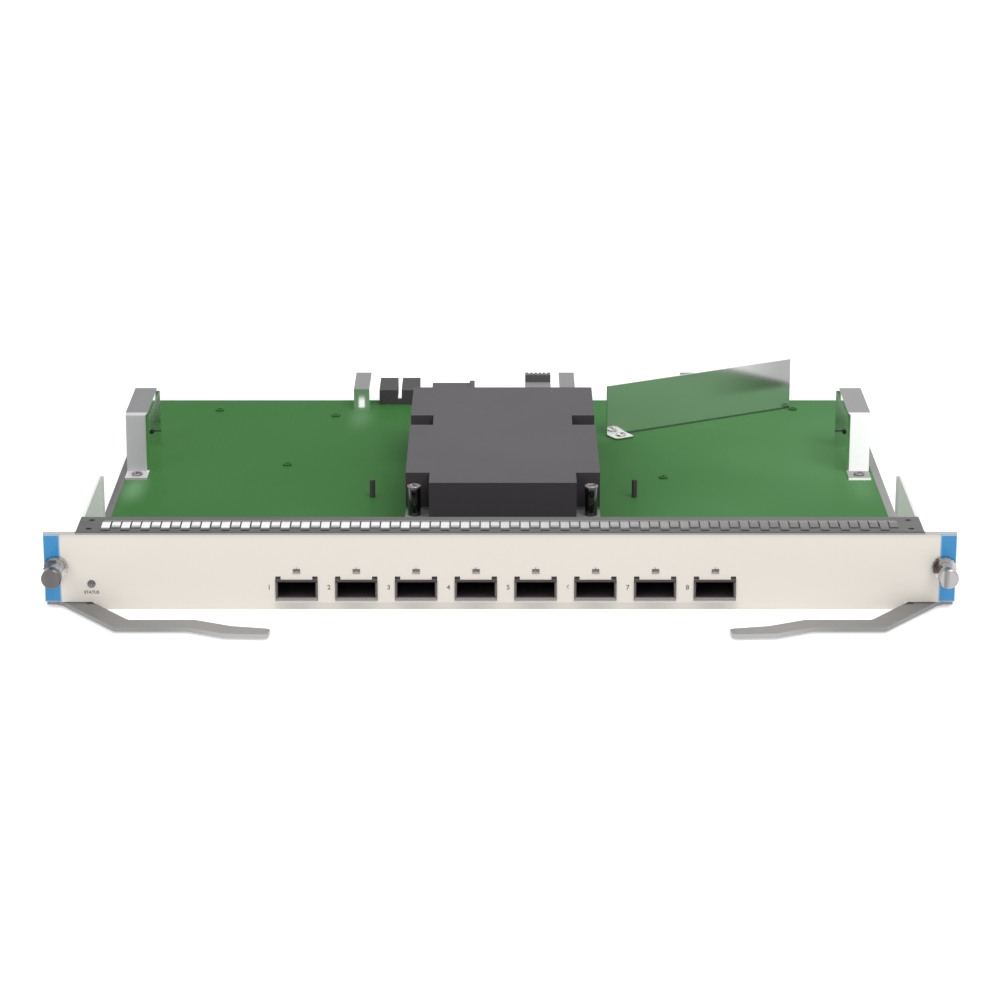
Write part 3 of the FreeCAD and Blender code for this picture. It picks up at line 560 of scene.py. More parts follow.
@dataclass(frozen=True)
class GuideBlock(Finish):
    """Polished block with a satin top and a painted, glowing highlight low on its front."""

    colour: Colour
    top: Colour
    gleam: Colour
    middle: float
    foot: float
    half_width: float = 2.2 * MM
    height: float = 9.0 * MM
    glow: float = 0.35

    def draw(self, graph: Graph) -> None:
        """Add this finish's nodes.

        Args:
            graph: The material's nodes.
        """
        x, _, z = graph.axes()
        _, facing_y, facing_z = graph.facing()
        satin = facing_z.ramp(*TOP)
        # Painted highlight: a gleam low on the front face, which also glows.
        across = (x - self.middle).size().ramp(self.half_width, 0.4 * self.half_width)
        up = z.ramp(self.foot + self.height, self.foot + 0.5 * self.height)
        up = up * z.ramp(self.foot + 0.1 * self.height, self.foot + 0.25 * self.height)
        gleam = across * up * facing_y.ramp(*FRONT)
        cloud = graph.noise(Grain.BLOCK)
        body = graph.blend(cloud.ramp(*CLOUDS), self.colour, scaled(self.colour, 0.94))
        body = graph.blend(satin, body, self.top)
        graph.surface(Base_Color=graph.blend(gleam, body, self.gleam),
                      Metallic=(1 - gleam) * satin.ramp(0.0, 1.0, 0.88, 0.5),
                      Roughness=satin.ramp(0.0, 1.0, 0.06, 0.4) + cloud * 0.04,
                      Emission_Color=graph.blend(gleam, BLACK, WHITE), Emission_Strength=self.glow)


@dataclass(frozen=True)
class FingerSteel(Finish):
    """Thin spring steel: a grey rail and hooked noses, and crowns with a painted reflection that
    darkens towards the right.
    """

    bright: Colour
    dull: Colour
    far: Colour
    crown: Pair = (14.0 * MM, 12.9 * MM)
    nose: Pair = (5.6 * MM, 6.6 * MM)
    short_nose: Pair = (8.6 * MM, 9.8 * MM)
    pitch: float = 4.375 * MM
    span: Pair = (-0.06, 0.12)

    def draw(self, graph: Graph) -> None:
        """Add this finish's nodes.

        Args:
            graph: The material's nodes.
        """
        x, y, _ = graph.axes()
        lines = graph.noise(Grain.FINGER)
        # Painted reflection on the crowns: hooked and free fingers are lit over different lengths,
        # darkening towards the right.
        hooked = x.maths("SINE", x * (math.pi / self.pitch)).step(0.0, -0.05)
        front = y.ramp(*self.nose) * (1 - hooked) + y.ramp(*self.short_nose, 0.35, 1.0) * hooked
        crown = y.ramp(*self.crown) * front
        bright = graph.blend(x.ramp(*self.span), self.bright, self.far)
        body = graph.blend(crown, self.dull, bright)
        graph.surface(Base_Color=graph.blend(lines.ramp(*STREAKS, 0.0, 0.15), body, self.dull),
                      Metallic=crown.ramp(0.0, 1.0, 0.5, 0.2),
                      Roughness=lines.ramp(*WIDE, 0.3, 0.42))
        graph.relief(lines, 0.01 * MM, 0.2)


@dataclass(frozen=True)
class LeverSteel(Finish):
    """Brushed lever steel with pale cut edges, and a painted shadow where it leaves the panel."""

    colour: Colour
    cut_edge: Colour
    oily: Colour
    patch: Pair = (170.5 * MM, 181.5 * MM)
    patch_front: float = -2.2 * MM
    root: Pair = (120 * MM, 185 * MM)
    tip: Pair = (115 * MM, 150 * MM)

    def draw(self, graph: Graph) -> None:
        """Add this finish's nodes.

        Args:
            graph: The material's nodes.
        """
        x, y, _ = graph.axes()
        _, _, facing_z = graph.facing()
        out = x.size()
        lines = graph.noise(Grain.ROLLED_X)
        pale, dark, streak = (scaled(self.colour, share) for share in (1.18, 0.82, 0.85))
        flat = graph.blend(out.ramp(*self.root), pale, dark)
        flat = graph.blend(lines.ramp(*STREAKS, 0.0, 0.25), flat, streak)
        edge = graph.blend(out.ramp(*self.tip), scaled(self.cut_edge, 1.6), self.cut_edge)
        body = graph.blend(facing_z.size().ramp(0.8, 0.4), flat, edge)
        # Painted shadow on the lever's root, under the panel's notch.
        low, high = self.patch
        inside = out.step(low, 0.2 * MM) * out.step(high, -0.4 * MM)
        patch = inside * y.step(self.patch_front, 0.3 * MM)
        graph.surface(Base_Color=graph.blend(patch, body, self.oily), Metallic=0.45,
                      Roughness=lines.ramp(*WIDE, 0.34, 0.46))
        graph.relief(lines, 0.02 * MM, 0.25)


@dataclass(frozen=True)
class CageSteel(Finish):
    """Nickel cage sheet: lips painted pale, mid and dark from the bottom up as painted light and
    shade, painted shade inside, and a pale outside.
    """

    lip: Colour
    low_lip: Colour
    top_lip: Colour
    inside: Colour
    outside: Colour
    lip_depth: float
    low_height: float
    top_height: float
    first: float
    pitch: float
    bright_from: Pair = (6 * MM, 9 * MM)

    def draw(self, graph: Graph) -> None:
        """Add this finish's nodes.

        Args:
            graph: The material's nodes.
        """
        x, y, z = graph.axes()
        facing_x, _, facing_z = graph.facing()
        lines = graph.noise(Grain.CAGE)
        half = self.pitch / 2
        across = (x.maths("FLOORED_MODULO", x - self.first + half, self.pitch) - half) * (1 / half)
        up = (z - (self.low_height + self.top_height) / 2) * (1 / half)
        outer = (across * facing_x + up * facing_z).ramp(0.05, 0.15)
        outer = outer * y.ramp(*self.bright_from, 0.25, 1.0)
        # Painted light and shade on the lips: pale at the bottom, dark at the top.
        front = graph.blend(z.step(self.top_height, HAIR), self.lip, self.top_lip)
        front = graph.blend(z.step(self.low_height, -HAIR), front, self.low_lip)
        # Painted shade deep inside the cage.
        deep = y.ramp(self.lip_depth, self.lip_depth + 0.4 * MM)
        inner = deep * (1 - outer)
        body = graph.blend(deep, front, graph.blend(outer, self.inside, self.outside))
        dull = scaled(self.inside, 0.8)
        graph.surface(Base_Color=graph.blend(lines.ramp(*STREAKS, 0.0, 0.2), body, dull),
                      Metallic=inner.ramp(0.0, 1.0, 0.5, 0.0),
                      Roughness=lines.ramp(*WIDE, 0.36, 0.5) + inner * 0.4)
        graph.relief(lines, 0.01 * MM, 0.25)


@dataclass(frozen=True)
class TurnedSteel(Finish):
    """Plated turned steel with fine lathe lines."""

    colour: Colour
    rough: float = 0.22
    metal: float = 1.0

    def draw(self, graph: Graph) -> None:
        """Add this finish's nodes.

        Args:
            graph: The material's nodes.
        """
        fine = graph.noise(Grain.TURNED)
        plate = graph.blend(fine.ramp(*SPECKS), self.colour, scaled(self.colour, 0.8))
        graph.surface(Base_Color=plate, Metallic=self.metal,
                      Roughness=fine.ramp(*WIDE, self.rough, self.rough + 0.14))
        graph.relief(fine, 0.01 * MM, 0.3)


@dataclass(frozen=True)
class SleeveSteel(Finish):
    """Plated sleeve with a painted dark reflection in one patch beside the knob."""

    dark: Colour
    patch_x: Pair
    patch_z: Pair
    colour: Colour = srgb(190, 188, 186)
    edge: float = 0.5 * MM

    def draw(self, graph: Graph) -> None:
        """Add this finish's nodes.

        Args:
            graph: The material's nodes.
        """
        x, y, z = graph.axes()
        fine = graph.noise(Grain.TURNED)
        # Painted dark reflection in one patch of the sleeve.
        patch = self.between(x, self.patch_x) * self.between(z, self.patch_z)
        patch = patch * y.step(0.0, -0.3 * MM)
        plate = graph.blend(fine.ramp(*SPECKS), self.colour, scaled(self.colour, 0.8))
        graph.surface(Base_Color=graph.blend(patch, plate, self.dark), Metallic=1.0,
                      Roughness=fine.ramp(*WIDE, 0.14, 0.28))

    def between(self, place: Wire, limits: Pair) -> Wire:
        """One between two limits, nought outside them."""
        return place.step(limits[0], self.edge) * place.step(limits[1], -self.edge)


@dataclass(frozen=True)
class KnobSteel(Finish):
    """A turned knob: a satin head with upright bands of painted highlight and a polished neck
    behind it.
    """

    head: Colour
    neck: Colour
    split: float
    bands: float

    def draw(self, graph: Graph) -> None:
        """Add this finish's nodes.

        Args:
            graph: The material's nodes.
        """
        _, y, _ = graph.axes()
        behind = y.step(self.split, HAIR)
        # Painted highlights: upright bands of lighter and darker tone on the head.
        bands = graph.noise(Grain.KNOB_BANDS).step(0.5, 0.06)
        dark, pale = (scaled(self.head, share) for share in (1 - self.bands, 1 + self.bands))
        body = graph.blend(behind, graph.blend(bands, dark, pale), self.neck)
        rough = behind.ramp(0.0, 1.0, 0.26, 0.08) + graph.noise(Grain.KNOB) * 0.08
        graph.surface(Base_Color=body, Metallic=0.9, Roughness=rough)


@dataclass(frozen=True)
class SolderMask(Finish):
    """Green mask over faint copper traces, with a bare laminate edge, painted light towards the
    right and a painted sheen in places.
    """

    colour: Colour
    trace: Colour
    edge: Colour
    right: Colour
    sheen: Colour
    sheen_places: Tuple[Point, ...]
    sheen_size: Pair = (9 * MM, 34 * MM)
    trace_pitch: float = 3.1 * MM
    span: Pair = (-0.05, 0.16)

    def draw(self, graph: Graph) -> None:
        """Add this finish's nodes.

        Args:
            graph: The material's nodes.
        """
        x, y, _ = graph.axes()
        _, _, facing_z = graph.facing()
        waves = math.tau / self.trace_pitch
        lines_x = y.maths("SINE", y * waves)
        lines_y = x.maths("SINE", x * waves)
        split = graph.noise(Grain.TRACE_TURN).step(0.5, 0.01)
        lines = (lines_x * split + lines_y * (1 - split)).ramp(0.55, 0.8)
        zone = graph.noise(Grain.TRACE_ZONE).ramp(0.5, 0.56)
        # Painted light: lighter towards the right.
        body = graph.blend(x.ramp(*self.span), self.colour, self.right)
        face = graph.blend(lines * zone * 0.15, body, self.trace)
        cloud = graph.noise(Grain.MASK_CLOUD).ramp(*CLOUDS, 0.0, 0.5)
        face = graph.blend(cloud, face, scaled(self.colour, 0.93))
        # Painted sheen: pale reflections in front of some pieces.
        wide, long = self.sheen_size
        for place_x, place_y, strength in self.sheen_places:
            across = (x - place_x).size().ramp(wide, 0.0)
            along = (y - place_y).size().ramp(long, 0.0)
            face = graph.blend(across * along * strength, face, self.sheen)
        graph.surface(Base_Color=graph.blend(facing_z.size().ramp(0.7, 0.4), face, self.edge),
                      Roughness=split.ramp(0.0, 1.0, 0.28, 0.34), Specular_IOR_Level=0.003)
        graph.relief(lines * zone, 0.01 * MM, 0.15)


@dataclass(frozen=True)
class TwoTone(Finish):
    """A fine-grained matt surface: its tops, its walls and their foot each have a tone, the walls
    painted darker than the tops as painted shade.
    """

    colour: Colour
    upright: Colour
    rough: float = 0.5
    shine: float = 0.1
    foot: Colour = BLACK
    foot_top: float = 0.0

    def draw(self, graph: Graph) -> None:
        """Add this finish's nodes.

        Args:
            graph: The material's nodes.
        """
        _, _, z = graph.axes()
        _, _, facing_z = graph.facing()
        grit = graph.noise(Grain.GRIT)
        cloud = graph.noise(Grain.CLOUD).ramp(*CLOUDS)
        flat = graph.blend(cloud, self.colour, scaled(self.colour, 0.93))
        wall = graph.blend(z.step(self.foot_top, -HAIR), self.upright, self.foot)
        # Walls are painted in shade, darker than the tops.
        graph.surface(Base_Color=graph.blend(facing_z.ramp(0.6, 0.3), flat, wall),
                      Roughness=grit.ramp(*MIDDLE, self.rough - 0.06, self.rough + 0.06),
                      Specular_IOR_Level=self.shine)
        graph.relief(grit, 0.03 * MM, 0.35)


@dataclass(frozen=True)
class LightPipe(Finish):
    """Clear acrylic seen against a dark bore: frosted end, darker along its upper half."""

    colour: Colour
    shade: Colour
    split: float

    def draw(self, graph: Graph) -> None:
        """Add this finish's nodes.

        Args:
            graph: The material's nodes.
        """
        _, _, z = graph.axes()
        frost = graph.noise(Grain.FROSTED)
        tone = graph.blend(z.step(self.split, 0.3 * MM), self.colour, self.shade)
        graph.surface(Base_Color=graph.blend(frost.ramp(*STREAKS, 0.0, 0.25), tone, FROST),
                      Roughness=frost.ramp(*MIDDLE, 0.12, 0.3), Coat_Weight=0.4)
        graph.relief(frost, 0.01 * MM, 0.2)


@dataclass(frozen=True)
class Ink(Finish):
    """Screen-printed ink, slightly uneven."""

    colour: Colour

    def draw(self, graph: Graph) -> None:
        """Add this finish's nodes.

        Args:
            graph: The material's nodes.
        """
        pores = graph.noise(Grain.INK)
        ink = graph.blend(pores.ramp(*PORES), self.colour, scaled(self.colour, 1.5))
        graph.surface(Base_Color=ink, Roughness=pores.ramp(*MIDDLE, 0.5, 0.65),
                      Specular_IOR_Level=0.25)


# ---- meshes ----


# Steps round a turned solid and round a wire.
LATHE_STEPS = 48
TUBE_SIDES = 10


def link(name: str, data: bpy.types.ID) -> Piece:
    """Put a new object in the scene.

    Args:
        name: The object's name.
        data: Its mesh, text, lamp or camera.

    Returns:
        The object.
    """
    made = bpy.data.objects.new(name, data)
    bpy.context.scene.collection.objects.link(made)
    return made


def mesh_piece(name: str, build: Callable[[Mesh], object], smooth: float = 0.6) -> Piece:
    """Make an object from a function that fills a bmesh.

    Args:
        name: The object's name.
        build: Fills the bmesh, in metres in the card's frame.
        smooth: Edges that turn by less than this, in radians, are shaded smooth.

    Returns:
        The object, linked to the scene.
    """
    mesh = bpy.data.meshes.new(name)
    work = bmesh.new()
    build(work)
    bmesh.ops.remove_doubles(work, verts=work.verts, dist=WELD)
    bmesh.ops.recalc_face_normals(work, faces=work.faces)
    for face in work.faces:
        face.smooth = True
    for edge in work.edges:
        if len(edge.link_faces) == 2 and edge.calc_face_angle(0.0) > smooth:
            edge.smooth = False
    work.to_mesh(mesh)
    work.free()
    return link(name, mesh)


def circle(radius: float, height: float, steps: int) -> List[Vector]:
    """Points round the Z axis, or the one point on it for a radius of nought.

    Args:
        radius: The circle's radius.
        height: Its height.
        steps: How many points.

    Returns:
        The points.
    """
    if radius == 0.0:
        return [Vector((0, 0, height))]
    turns = [math.tau * step / steps for step in range(steps)]
    return [Vector((radius * math.cos(turn), radius * math.sin(turn), height)) for turn in turns]


def join_rings(work: Mesh, rings: Sequence[Verts]) -> None:
    """Join each ring to the next with faces; a ring of one point closes a cone.

    Args:
        work: The bmesh to add to.
        rings: The rings in order, of one size apart from those of one point.
    """
    for lower, upper in zip(rings, rings[1:]):
        steps = max(len(lower), len(upper))
        for step in range(steps):
            after = (step + 1) % steps
            if len(lower) == 1:
                work.faces.new((lower[0], upper[step], upper[after]))
            elif len(upper) == 1:
                work.faces.new((lower[step], lower[after], upper[0]))
            else:
                work.faces.new((lower[step], lower[after], upper[after], upper[step]))


def add_lathe(work: Mesh, profile: Sequence[Pair], place: Vector) -> None:
    """Add a closed turned solid, or a turned ring when the profile comes back to its start.

    Args:
        work: The bmesh to add to.
        profile: Radius and height, from axis to axis or all round a ring's section.
        place: Where the profile's point of no height on the axis goes.
    """
    ring_shaped = profile[0] == profile[-1]
    fit = Matrix.Translation(place)
    rings = [[work.verts.new(fit @ point) for point in circle(radius, height, LATHE_STEPS)]
             for radius, height in (profile[:-1] if ring_shaped else profile)]
    join_rings(work, rings + rings[:1] if ring_shaped else rings)


def add_tube(work: Mesh, path: Sequence[Vector], radius: float) -> None:
    """Add a round tube with flat ends along a path.

    Args:
        work: The bmesh to add to.
        path: Points on the tube's middle line.
        radius: The tube's radius.
    """
    rings = []
    for index, middle in enumerate(path):
        ahead = path[min(index + 1, len(path) - 1)] - path[max(index - 1, 0)]
        turn = ahead.to_track_quat("Z", "Y").to_matrix()
        points = circle(radius, 0.0, TUBE_SIDES)
        rings.append([work.verts.new(middle + turn @ point) for point in points])
    join_rings(work, rings)
    work.faces.new(rings[0][::-1])
    work.faces.new(rings[-1])


def carve(piece: Piece, cutter: Piece) -> None:
    """Take one closed mesh away from another for good.

    Args:
        piece: The object that is cut.
        cutter: The object that is taken away and then removed.
    """
    cut = piece.modifiers.new("carve", "BOOLEAN")
    cut.operation = "DIFFERENCE"
    cut.solver = "EXACT"
    cut.object = cutter
    made = bpy.data.meshes.new_from_object(
        piece.evaluated_get(bpy.context.evaluated_depsgraph_get()))
    piece.modifiers.remove(cut)
    piece.data = made
    bpy.data.objects.remove(cutter)


def islands(node: str) -> List[Tuple[Vector, Vector]]:
    """The box of each separate solid in a CAD node.

    Args:
        node: The node's name.

    Returns:
        Lowest and highest corner of each, from left to right and front to back.
    """
    work = bmesh.new()
    work.from_mesh(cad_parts[node].data)
    bmesh.ops.remove_doubles(work, verts=work.verts, dist=TOUCH)
    left = set(work.verts)
    boxes = []
    while left:
        found = [left.pop()]
        for vert in found:
            near = {edge.other_vert(vert) for edge in vert.link_edges} & left
            left -= near
            found += near
        spans = [[vert.co[axis] for vert in found] for axis in range(3)]
        boxes.append((Vector(map(min, spans)), Vector(map(max, spans))))
    work.free()
    return sorted(boxes, key=lambda box: (round(box[0].x, 4), round(box[0].y, 4)))


def centre(low: Vector, high: Vector) -> Vector:
    """The middle of a box."""
    return (low + high) / 2


# ---- the card's finishes ----


# Places on the card that a change of tone follows.
PANEL_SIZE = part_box("front_panel")[1]
CAGE_LOW, CAGE_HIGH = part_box("port_cage_1")
CAGE_MIDDLE = centre(CAGE_LOW, CAGE_HIGH).x
CAGE_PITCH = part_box("port_cage_2")[0].x - CAGE_LOW.x
LAST_MIDDLE = centre(*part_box("port_cage_8")).x
CAGE_LIP = 1.1 * MM
LEG_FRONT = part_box("left_bridge_bracket")[0].y + 16 * MM
SINK_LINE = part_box("heat_sink")[0].z + 1.3 * MM
KNOB_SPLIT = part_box("left_thumbscrew")[0].y + 4.2 * MM

# The panel's shade colour darkens its random cloud, the painted shade under the ports and at the
# lower corners, and the paint towards the top.
PANEL_PAINT = PanelPaint(
    "panel_powder_coat", "panel_paint", srgb(231, 225, 216), srgb(160, 157, 156), srgb(92, 89, 90),
    srgb(196, 193, 187), PANEL_SIZE.z, PANEL_SIZE.x, (CAGE_MIDDLE, LAST_MIDDLE))
BLUE_TRIM = TrimEnamel(
    "trim_blue_enamel", "blue_trim", srgb(53, 143, 202), srgb(150, 196, 232))
# The flange and tray sheets are painted paler towards the right by their last number, as painted
# light.
FLANGE_STEEL = SheetMetal(
    "flange_rolled_steel", "sheet_steel", srgb(80, 79, 80), Grain.ROLLED_X, 0.45, 0.4, 1.55)
TRAY_STEEL = SheetMetal(
    "tray_rolled_steel", "sheet_steel", srgb(90, 91, 89), Grain.ROLLED_Y, 0.42, 0.45, 2.9)
LEFT_BRIDGE = FoldedSheet(
    "left_bridge_sheet", "sheet_steel", srgb(186, 185, 188), srgb(130, 129, 132),
    srgb(226, 226, 226), srgb(238, 240, 238), LEG_FRONT)
# The right bracket's front is painted white and given a painted glow.
RIGHT_BRIDGE = FoldedSheet(
    "right_bridge_sheet", "sheet_steel", srgb(254, 254, 254), srgb(148, 148, 148),
    srgb(160, 160, 158), srgb(238, 240, 238), LEG_FRONT, front_metal=0.0, glow=0.22)
# The side plates are given a faint painted glow all over.
SIDE_PLATE = FoldedSheet(
    "side_plate_sheet", "sheet_steel", srgb(214, 215, 214), srgb(236, 236, 236),
    srgb(214, 215, 214), srgb(248, 248, 246), 1.0, front_metal=0.1, mirror=0.0, bend=1.05,
    inner_rough=0.4, glow=0.055, inner_glow=WHITE)
# The baffle has a painted reflection towards its upper right and a painted shadow line along its
# foot.
BAFFLE_SHEET = FoldedSheet(
    "baffle_mirror_sheet", "sheet_steel", srgb(232, 236, 232), srgb(240, 240, 240),
    srgb(250, 250, 250), srgb(236, 238, 236), 0.0, front_metal=0.2, mirror=0.86, bend=1.1,
    inner_rough=0.09, line_top=5.0 * MM, lean=0.055, right_share=0.42, span=(0.1, 0.15),
    lift=(14.0 * MM, 19.0 * MM))
FINGER_STEEL = FingerSteel(
    "spring_finger_steel", "spring_steel", srgb(252, 252, 252), srgb(114, 113, 114),
    srgb(118, 116, 114))
WIRE_STEEL = TurnedSteel("spring_wire", "spring_steel", srgb(150, 150, 148), 0.25)
CUP_STEEL = TurnedSteel("spring_cup_polish", "spring_steel", srgb(104, 106, 104), 0.05)
CAGE_STEEL = CageSteel(
    "cage_nickel_sheet", "cage_steel", srgb(104, 99, 98), srgb(140, 135, 134), srgb(70, 64, 62),
    srgb(72, 66, 70), srgb(196, 194, 192), 0.7 * MM, CAGE_LOW.z + CAGE_LIP,
    CAGE_HIGH.z - CAGE_LIP, CAGE_MIDDLE, CAGE_PITCH)
LEVER_STEEL = LeverSteel(
    "lever_brushed_steel", "lever_steel", srgb(146, 145, 145), srgb(142, 142, 142),
    srgb(74, 68, 64))
SCREW_STEEL = TurnedSteel("screw_zinc_plate", "plated_steel", srgb(200, 200, 197))
DULL_SCREW = TurnedSteel("screw_dull_plate", "plated_steel", srgb(142, 139, 137), 0.3, 0.8)
MASKED_SCREW = TwoTone(
    "screw_under_mask", "plated_steel", srgb(67, 116, 65), srgb(56, 95, 54), shine=0.02)
RING_STEEL = TurnedSteel("sleeve_nickel_plate", "plated_steel", srgb(190, 188, 186), 0.14)
LEFT_SLEEVE = SleeveSteel(
    "left_sleeve_plate", "plated_steel", srgb(98, 100, 112), (-200.0 * MM, -193.6 * MM),
    (19.4 * MM, 23.6 * MM))
RIGHT_SLEEVE = SleeveSteel(
    "right_sleeve_plate", "plated_steel", srgb(88, 80, 76), (188.0 * MM, 191.6 * MM),
    (17.4 * MM, 24.0 * MM))
# One plating on both knobs: the left head is painted in shade and the right head painted lit, with
# stronger highlight bands.
SHADED_KNOB = KnobSteel(
    "knob_plate_in_shade", "plated_steel", srgb(104, 103, 101), srgb(206, 206, 206), KNOB_SPLIT, 0.05)
LIT_KNOB = KnobSteel(
    "knob_plate_lit", "plated_steel", srgb(154, 151, 150), srgb(206, 206, 206), KNOB_SPLIT, 0.3)
BLACK_STEEL = TurnedSteel("screw_black_oxide", "black_steel", srgb(24, 24, 24), 0.4, 0.2)
SINK_ALLOY = TwoTone(
    "heat_sink_anodised", "heat_sink_metal", srgb(97, 94, 97), srgb(71, 66, 71), shine=0.06,
    foot=srgb(120, 117, 120), foot_top=SINK_LINE)
BASE_ALLOY = TwoTone(
    "sink_base_anodised", "heat_sink_metal", srgb(150, 150, 150), srgb(120, 118, 120), 0.45)
BLACK_PLASTIC = TwoTone(
    "black_moulding", "black_plastic", srgb(44, 43, 45), srgb(40, 39, 41))
POST_PLASTIC = TwoTone(
    "post_moulding", "black_plastic", srgb(84, 84, 84), srgb(76, 76, 76))
GREY_PLASTIC = TwoTone(
    "connector_moulding", "connector_plastic", srgb(76, 75, 76), srgb(74, 73, 75))
SIGNAL_PLASTIC = TwoTone(
    "signal_moulding", "connector_plastic", srgb(92, 90, 92), srgb(74, 73, 75))
RIM_PLASTIC = TwoTone(
    "rim_moulding", "connector_plastic", srgb(118, 117, 118), srgb(94, 93, 94))
PORT_PLASTIC = TwoTone(
    "port_connector_moulding", "connector_plastic", srgb(48, 45, 48), srgb(40, 38, 40))
PALE_PLASTIC = TwoTone(
    "pale_moulding", "pale_plastic", srgb(162, 161, 162), srgb(119, 117, 120))
LIGHT_CHIP = TwoTone(
    "light_chip_package", "light_chip", srgb(214, 210, 188), srgb(206, 202, 180), 0.3)
DARK_INK = Ink("printed_marks", "panel_paint", srgb(110, 106, 103))


# ---- sub-assemblies ----


Coats = Dict[str, Finish]


@dataclass
class Shop:
    """Makes each material once and lays it on objects."""

    ready: Dict[str, bpy.types.Material] = field(default_factory=dict)

    def coat(self, target: Piece, finish: Finish) -> None:
        """Put a finish on an object.

        Args:
            target: The object.
            finish: What to put on it.
        """
        if finish.name not in self.ready:
            self.ready[finish.name] = finish.make()
        slots = target.data.materials
        for index in range(len(slots)):
            slots[index] = self.ready[finish.name]
        if not slots:
            slots.append(self.ready[finish.name])


@dataclass
class Assembly:
    """What every sub-assembly has: the shop that coats it and the pieces that it adds."""

    shop: Shop
    made: List[Piece] = field(default_factory=list)

    def coats(self) -> Coats:
        """The finish of each CAD node."""
        return {}

    def build(self) -> None:
        """Add this sub-assembly's own pieces."""

    def dress(self) -> None:
        """Give each CAD node its finish."""
        for node, finish in self.coats().items():
            self.shop.coat(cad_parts[node], finish)

    def add(self, piece: Piece, finish: Finish, *nodes: str) -> None:
        """Finish a new piece and put it on the card.

        Args:
            piece: The piece.
            finish: Its finish.
            nodes: CAD nodes that it stands for.
        """
        self.shop.coat(piece, finish)
        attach(piece, CARD)
        if nodes:
            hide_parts(*nodes)
        self.made.append(piece)


@dataclass
class CrossScrew:
    """An upright pan-head screw with a cross recess."""

    head_radius: float
    head_height: float
    shank_radius: float
    length: float
    recess_share: float = 0.62
    recess_width: float = 0.2
    recess_foot: float = 0.3
    first_turn: float = 0.3
    next_turn: float = 0.4

    def profile(self) -> List[Pair]:
        """The turned shape, with the bearing face of the head at height nought.

        Returns:
            Radius and height of each of its points.
        """
        top, wide, shank = self.head_height, self.head_radius, self.shank_radius
        return [(0.0, -self.length), (shank * 0.8, -self.length),
                (shank, -self.length + 0.2 * shank), (shank, 0.0), (wide * 0.97, 0.0),
                (wide, 0.08 * top), (wide, 0.45 * top), (0.95 * wide, 0.68 * top),
                (0.84 * wide, 0.86 * top), (0.62 * wide, 0.96 * top), (0.3 * wide, top),
                (0.0, top)]

    def make(self, name: str, places: Sequence[Vector]) -> Piece:
        """Build a set of these screws as one object.

        Args:
            name: The object's name.
            places: Middle of each head's bearing face.

        Returns:
            The object.
        """
        master = mesh_piece(name, lambda work: add_lathe(work, self.profile(), Vector()))
        reach = self.recess_share * self.head_radius
        half = self.recess_width * self.head_radius
        for across, along in ((half, reach), (reach, half)):
            low = Vector((-across, -along, self.recess_foot * self.head_height))
            high = Vector((across, along, 2 * self.head_height))
            fit = Matrix.Translation(centre(low, high)) @ Matrix.Diagonal((*(high - low), 1.0))
            carve(master, mesh_piece(
                "recess", lambda work: bmesh.ops.create_cube(work, size=1.0, matrix=fit)))
        work = bmesh.new()
        for index, place in enumerate(places):
            copy = master.data.copy()
            turn = Matrix.Rotation(self.first_turn + self.next_turn * index, 4, "Z")
            copy.transform(Matrix.Translation(place) @ turn)
            work.from_mesh(copy)
            bpy.data.meshes.remove(copy)
        work.to_mesh(master.data)
        work.free()
        return master


@dataclass
class Screwed(Assembly):
    """A sub-assembly held by upright screws of one size, each shown with a cross recess."""

    screws: str = ""
    screw_set: str = ""
    screw_finish: Finish = SCREW_STEEL
    head_height: float = 1.3 * MM
    shank_radius: float = 1.45 * MM

    def build(self) -> None:
        """Stand a cross-recess screw in place of each plain one."""
        boxes = islands(self.screws)
        low, high = boxes[0]
        size = (high - low) / 2
        screw = CrossScrew(size.x, self.head_height, self.shank_radius,
                           high.z - low.z - self.head_height)
        drop = Vector((0, 0, self.head_height))
        places = [centre(Vector((low.x, low.y, high.z)), high) - drop for low, high in boxes]
        self.add(screw.make(self.screw_set, places), self.screw_finish, self.screws)


@dataclass
class CoilSpring:
    """A round-wire compression spring with a closed turn at each end."""

    radius: float
    wire: float
    active_turns: float = 4.0
    steps: int = 28
    smooth: float = 1.2

    def path(self, length: float) -> List[Vector]:
        """Points on the wire's middle line, along +Z from nought.

        Args:
            length: The spring's length over its ends.

        Returns:
            The points.
        """
        closed = 2.1 * self.wire
        rise = (length - 2 * self.wire - 2 * closed) / self.active_turns
        points = []
        for index in range(int((self.active_turns + 2) * self.steps) + 1):
            turn = index / self.steps
            low = min(turn, 1.0) * closed
            middle = min(max(turn - 1.0, 0.0), self.active_turns) * rise
            top = max(turn - 1.0 - self.active_turns, 0.0) * closed
            angle, height = math.tau * turn, self.wire + low + middle + top
            points.append(
                Vector((self.radius * math.cos(angle), self.radius * math.sin(angle), height)))
        return points

    def make(self, name: str, foot: Vector, aim: Vector, length: float) -> Piece:
        """Build the spring.

        Args:
            name: The object's name.
            foot: The middle of its lower end.
            aim: The way from that end to the other.
            length: The length over its ends.

        Returns:
            The object.
        """
        turn = aim.to_track_quat("Z", "Y").to_matrix()
        points = [foot + turn @ point for point in self.path(length)]
        return mesh_piece(name, lambda work: add_tube(work, points, self.wire), self.smooth)


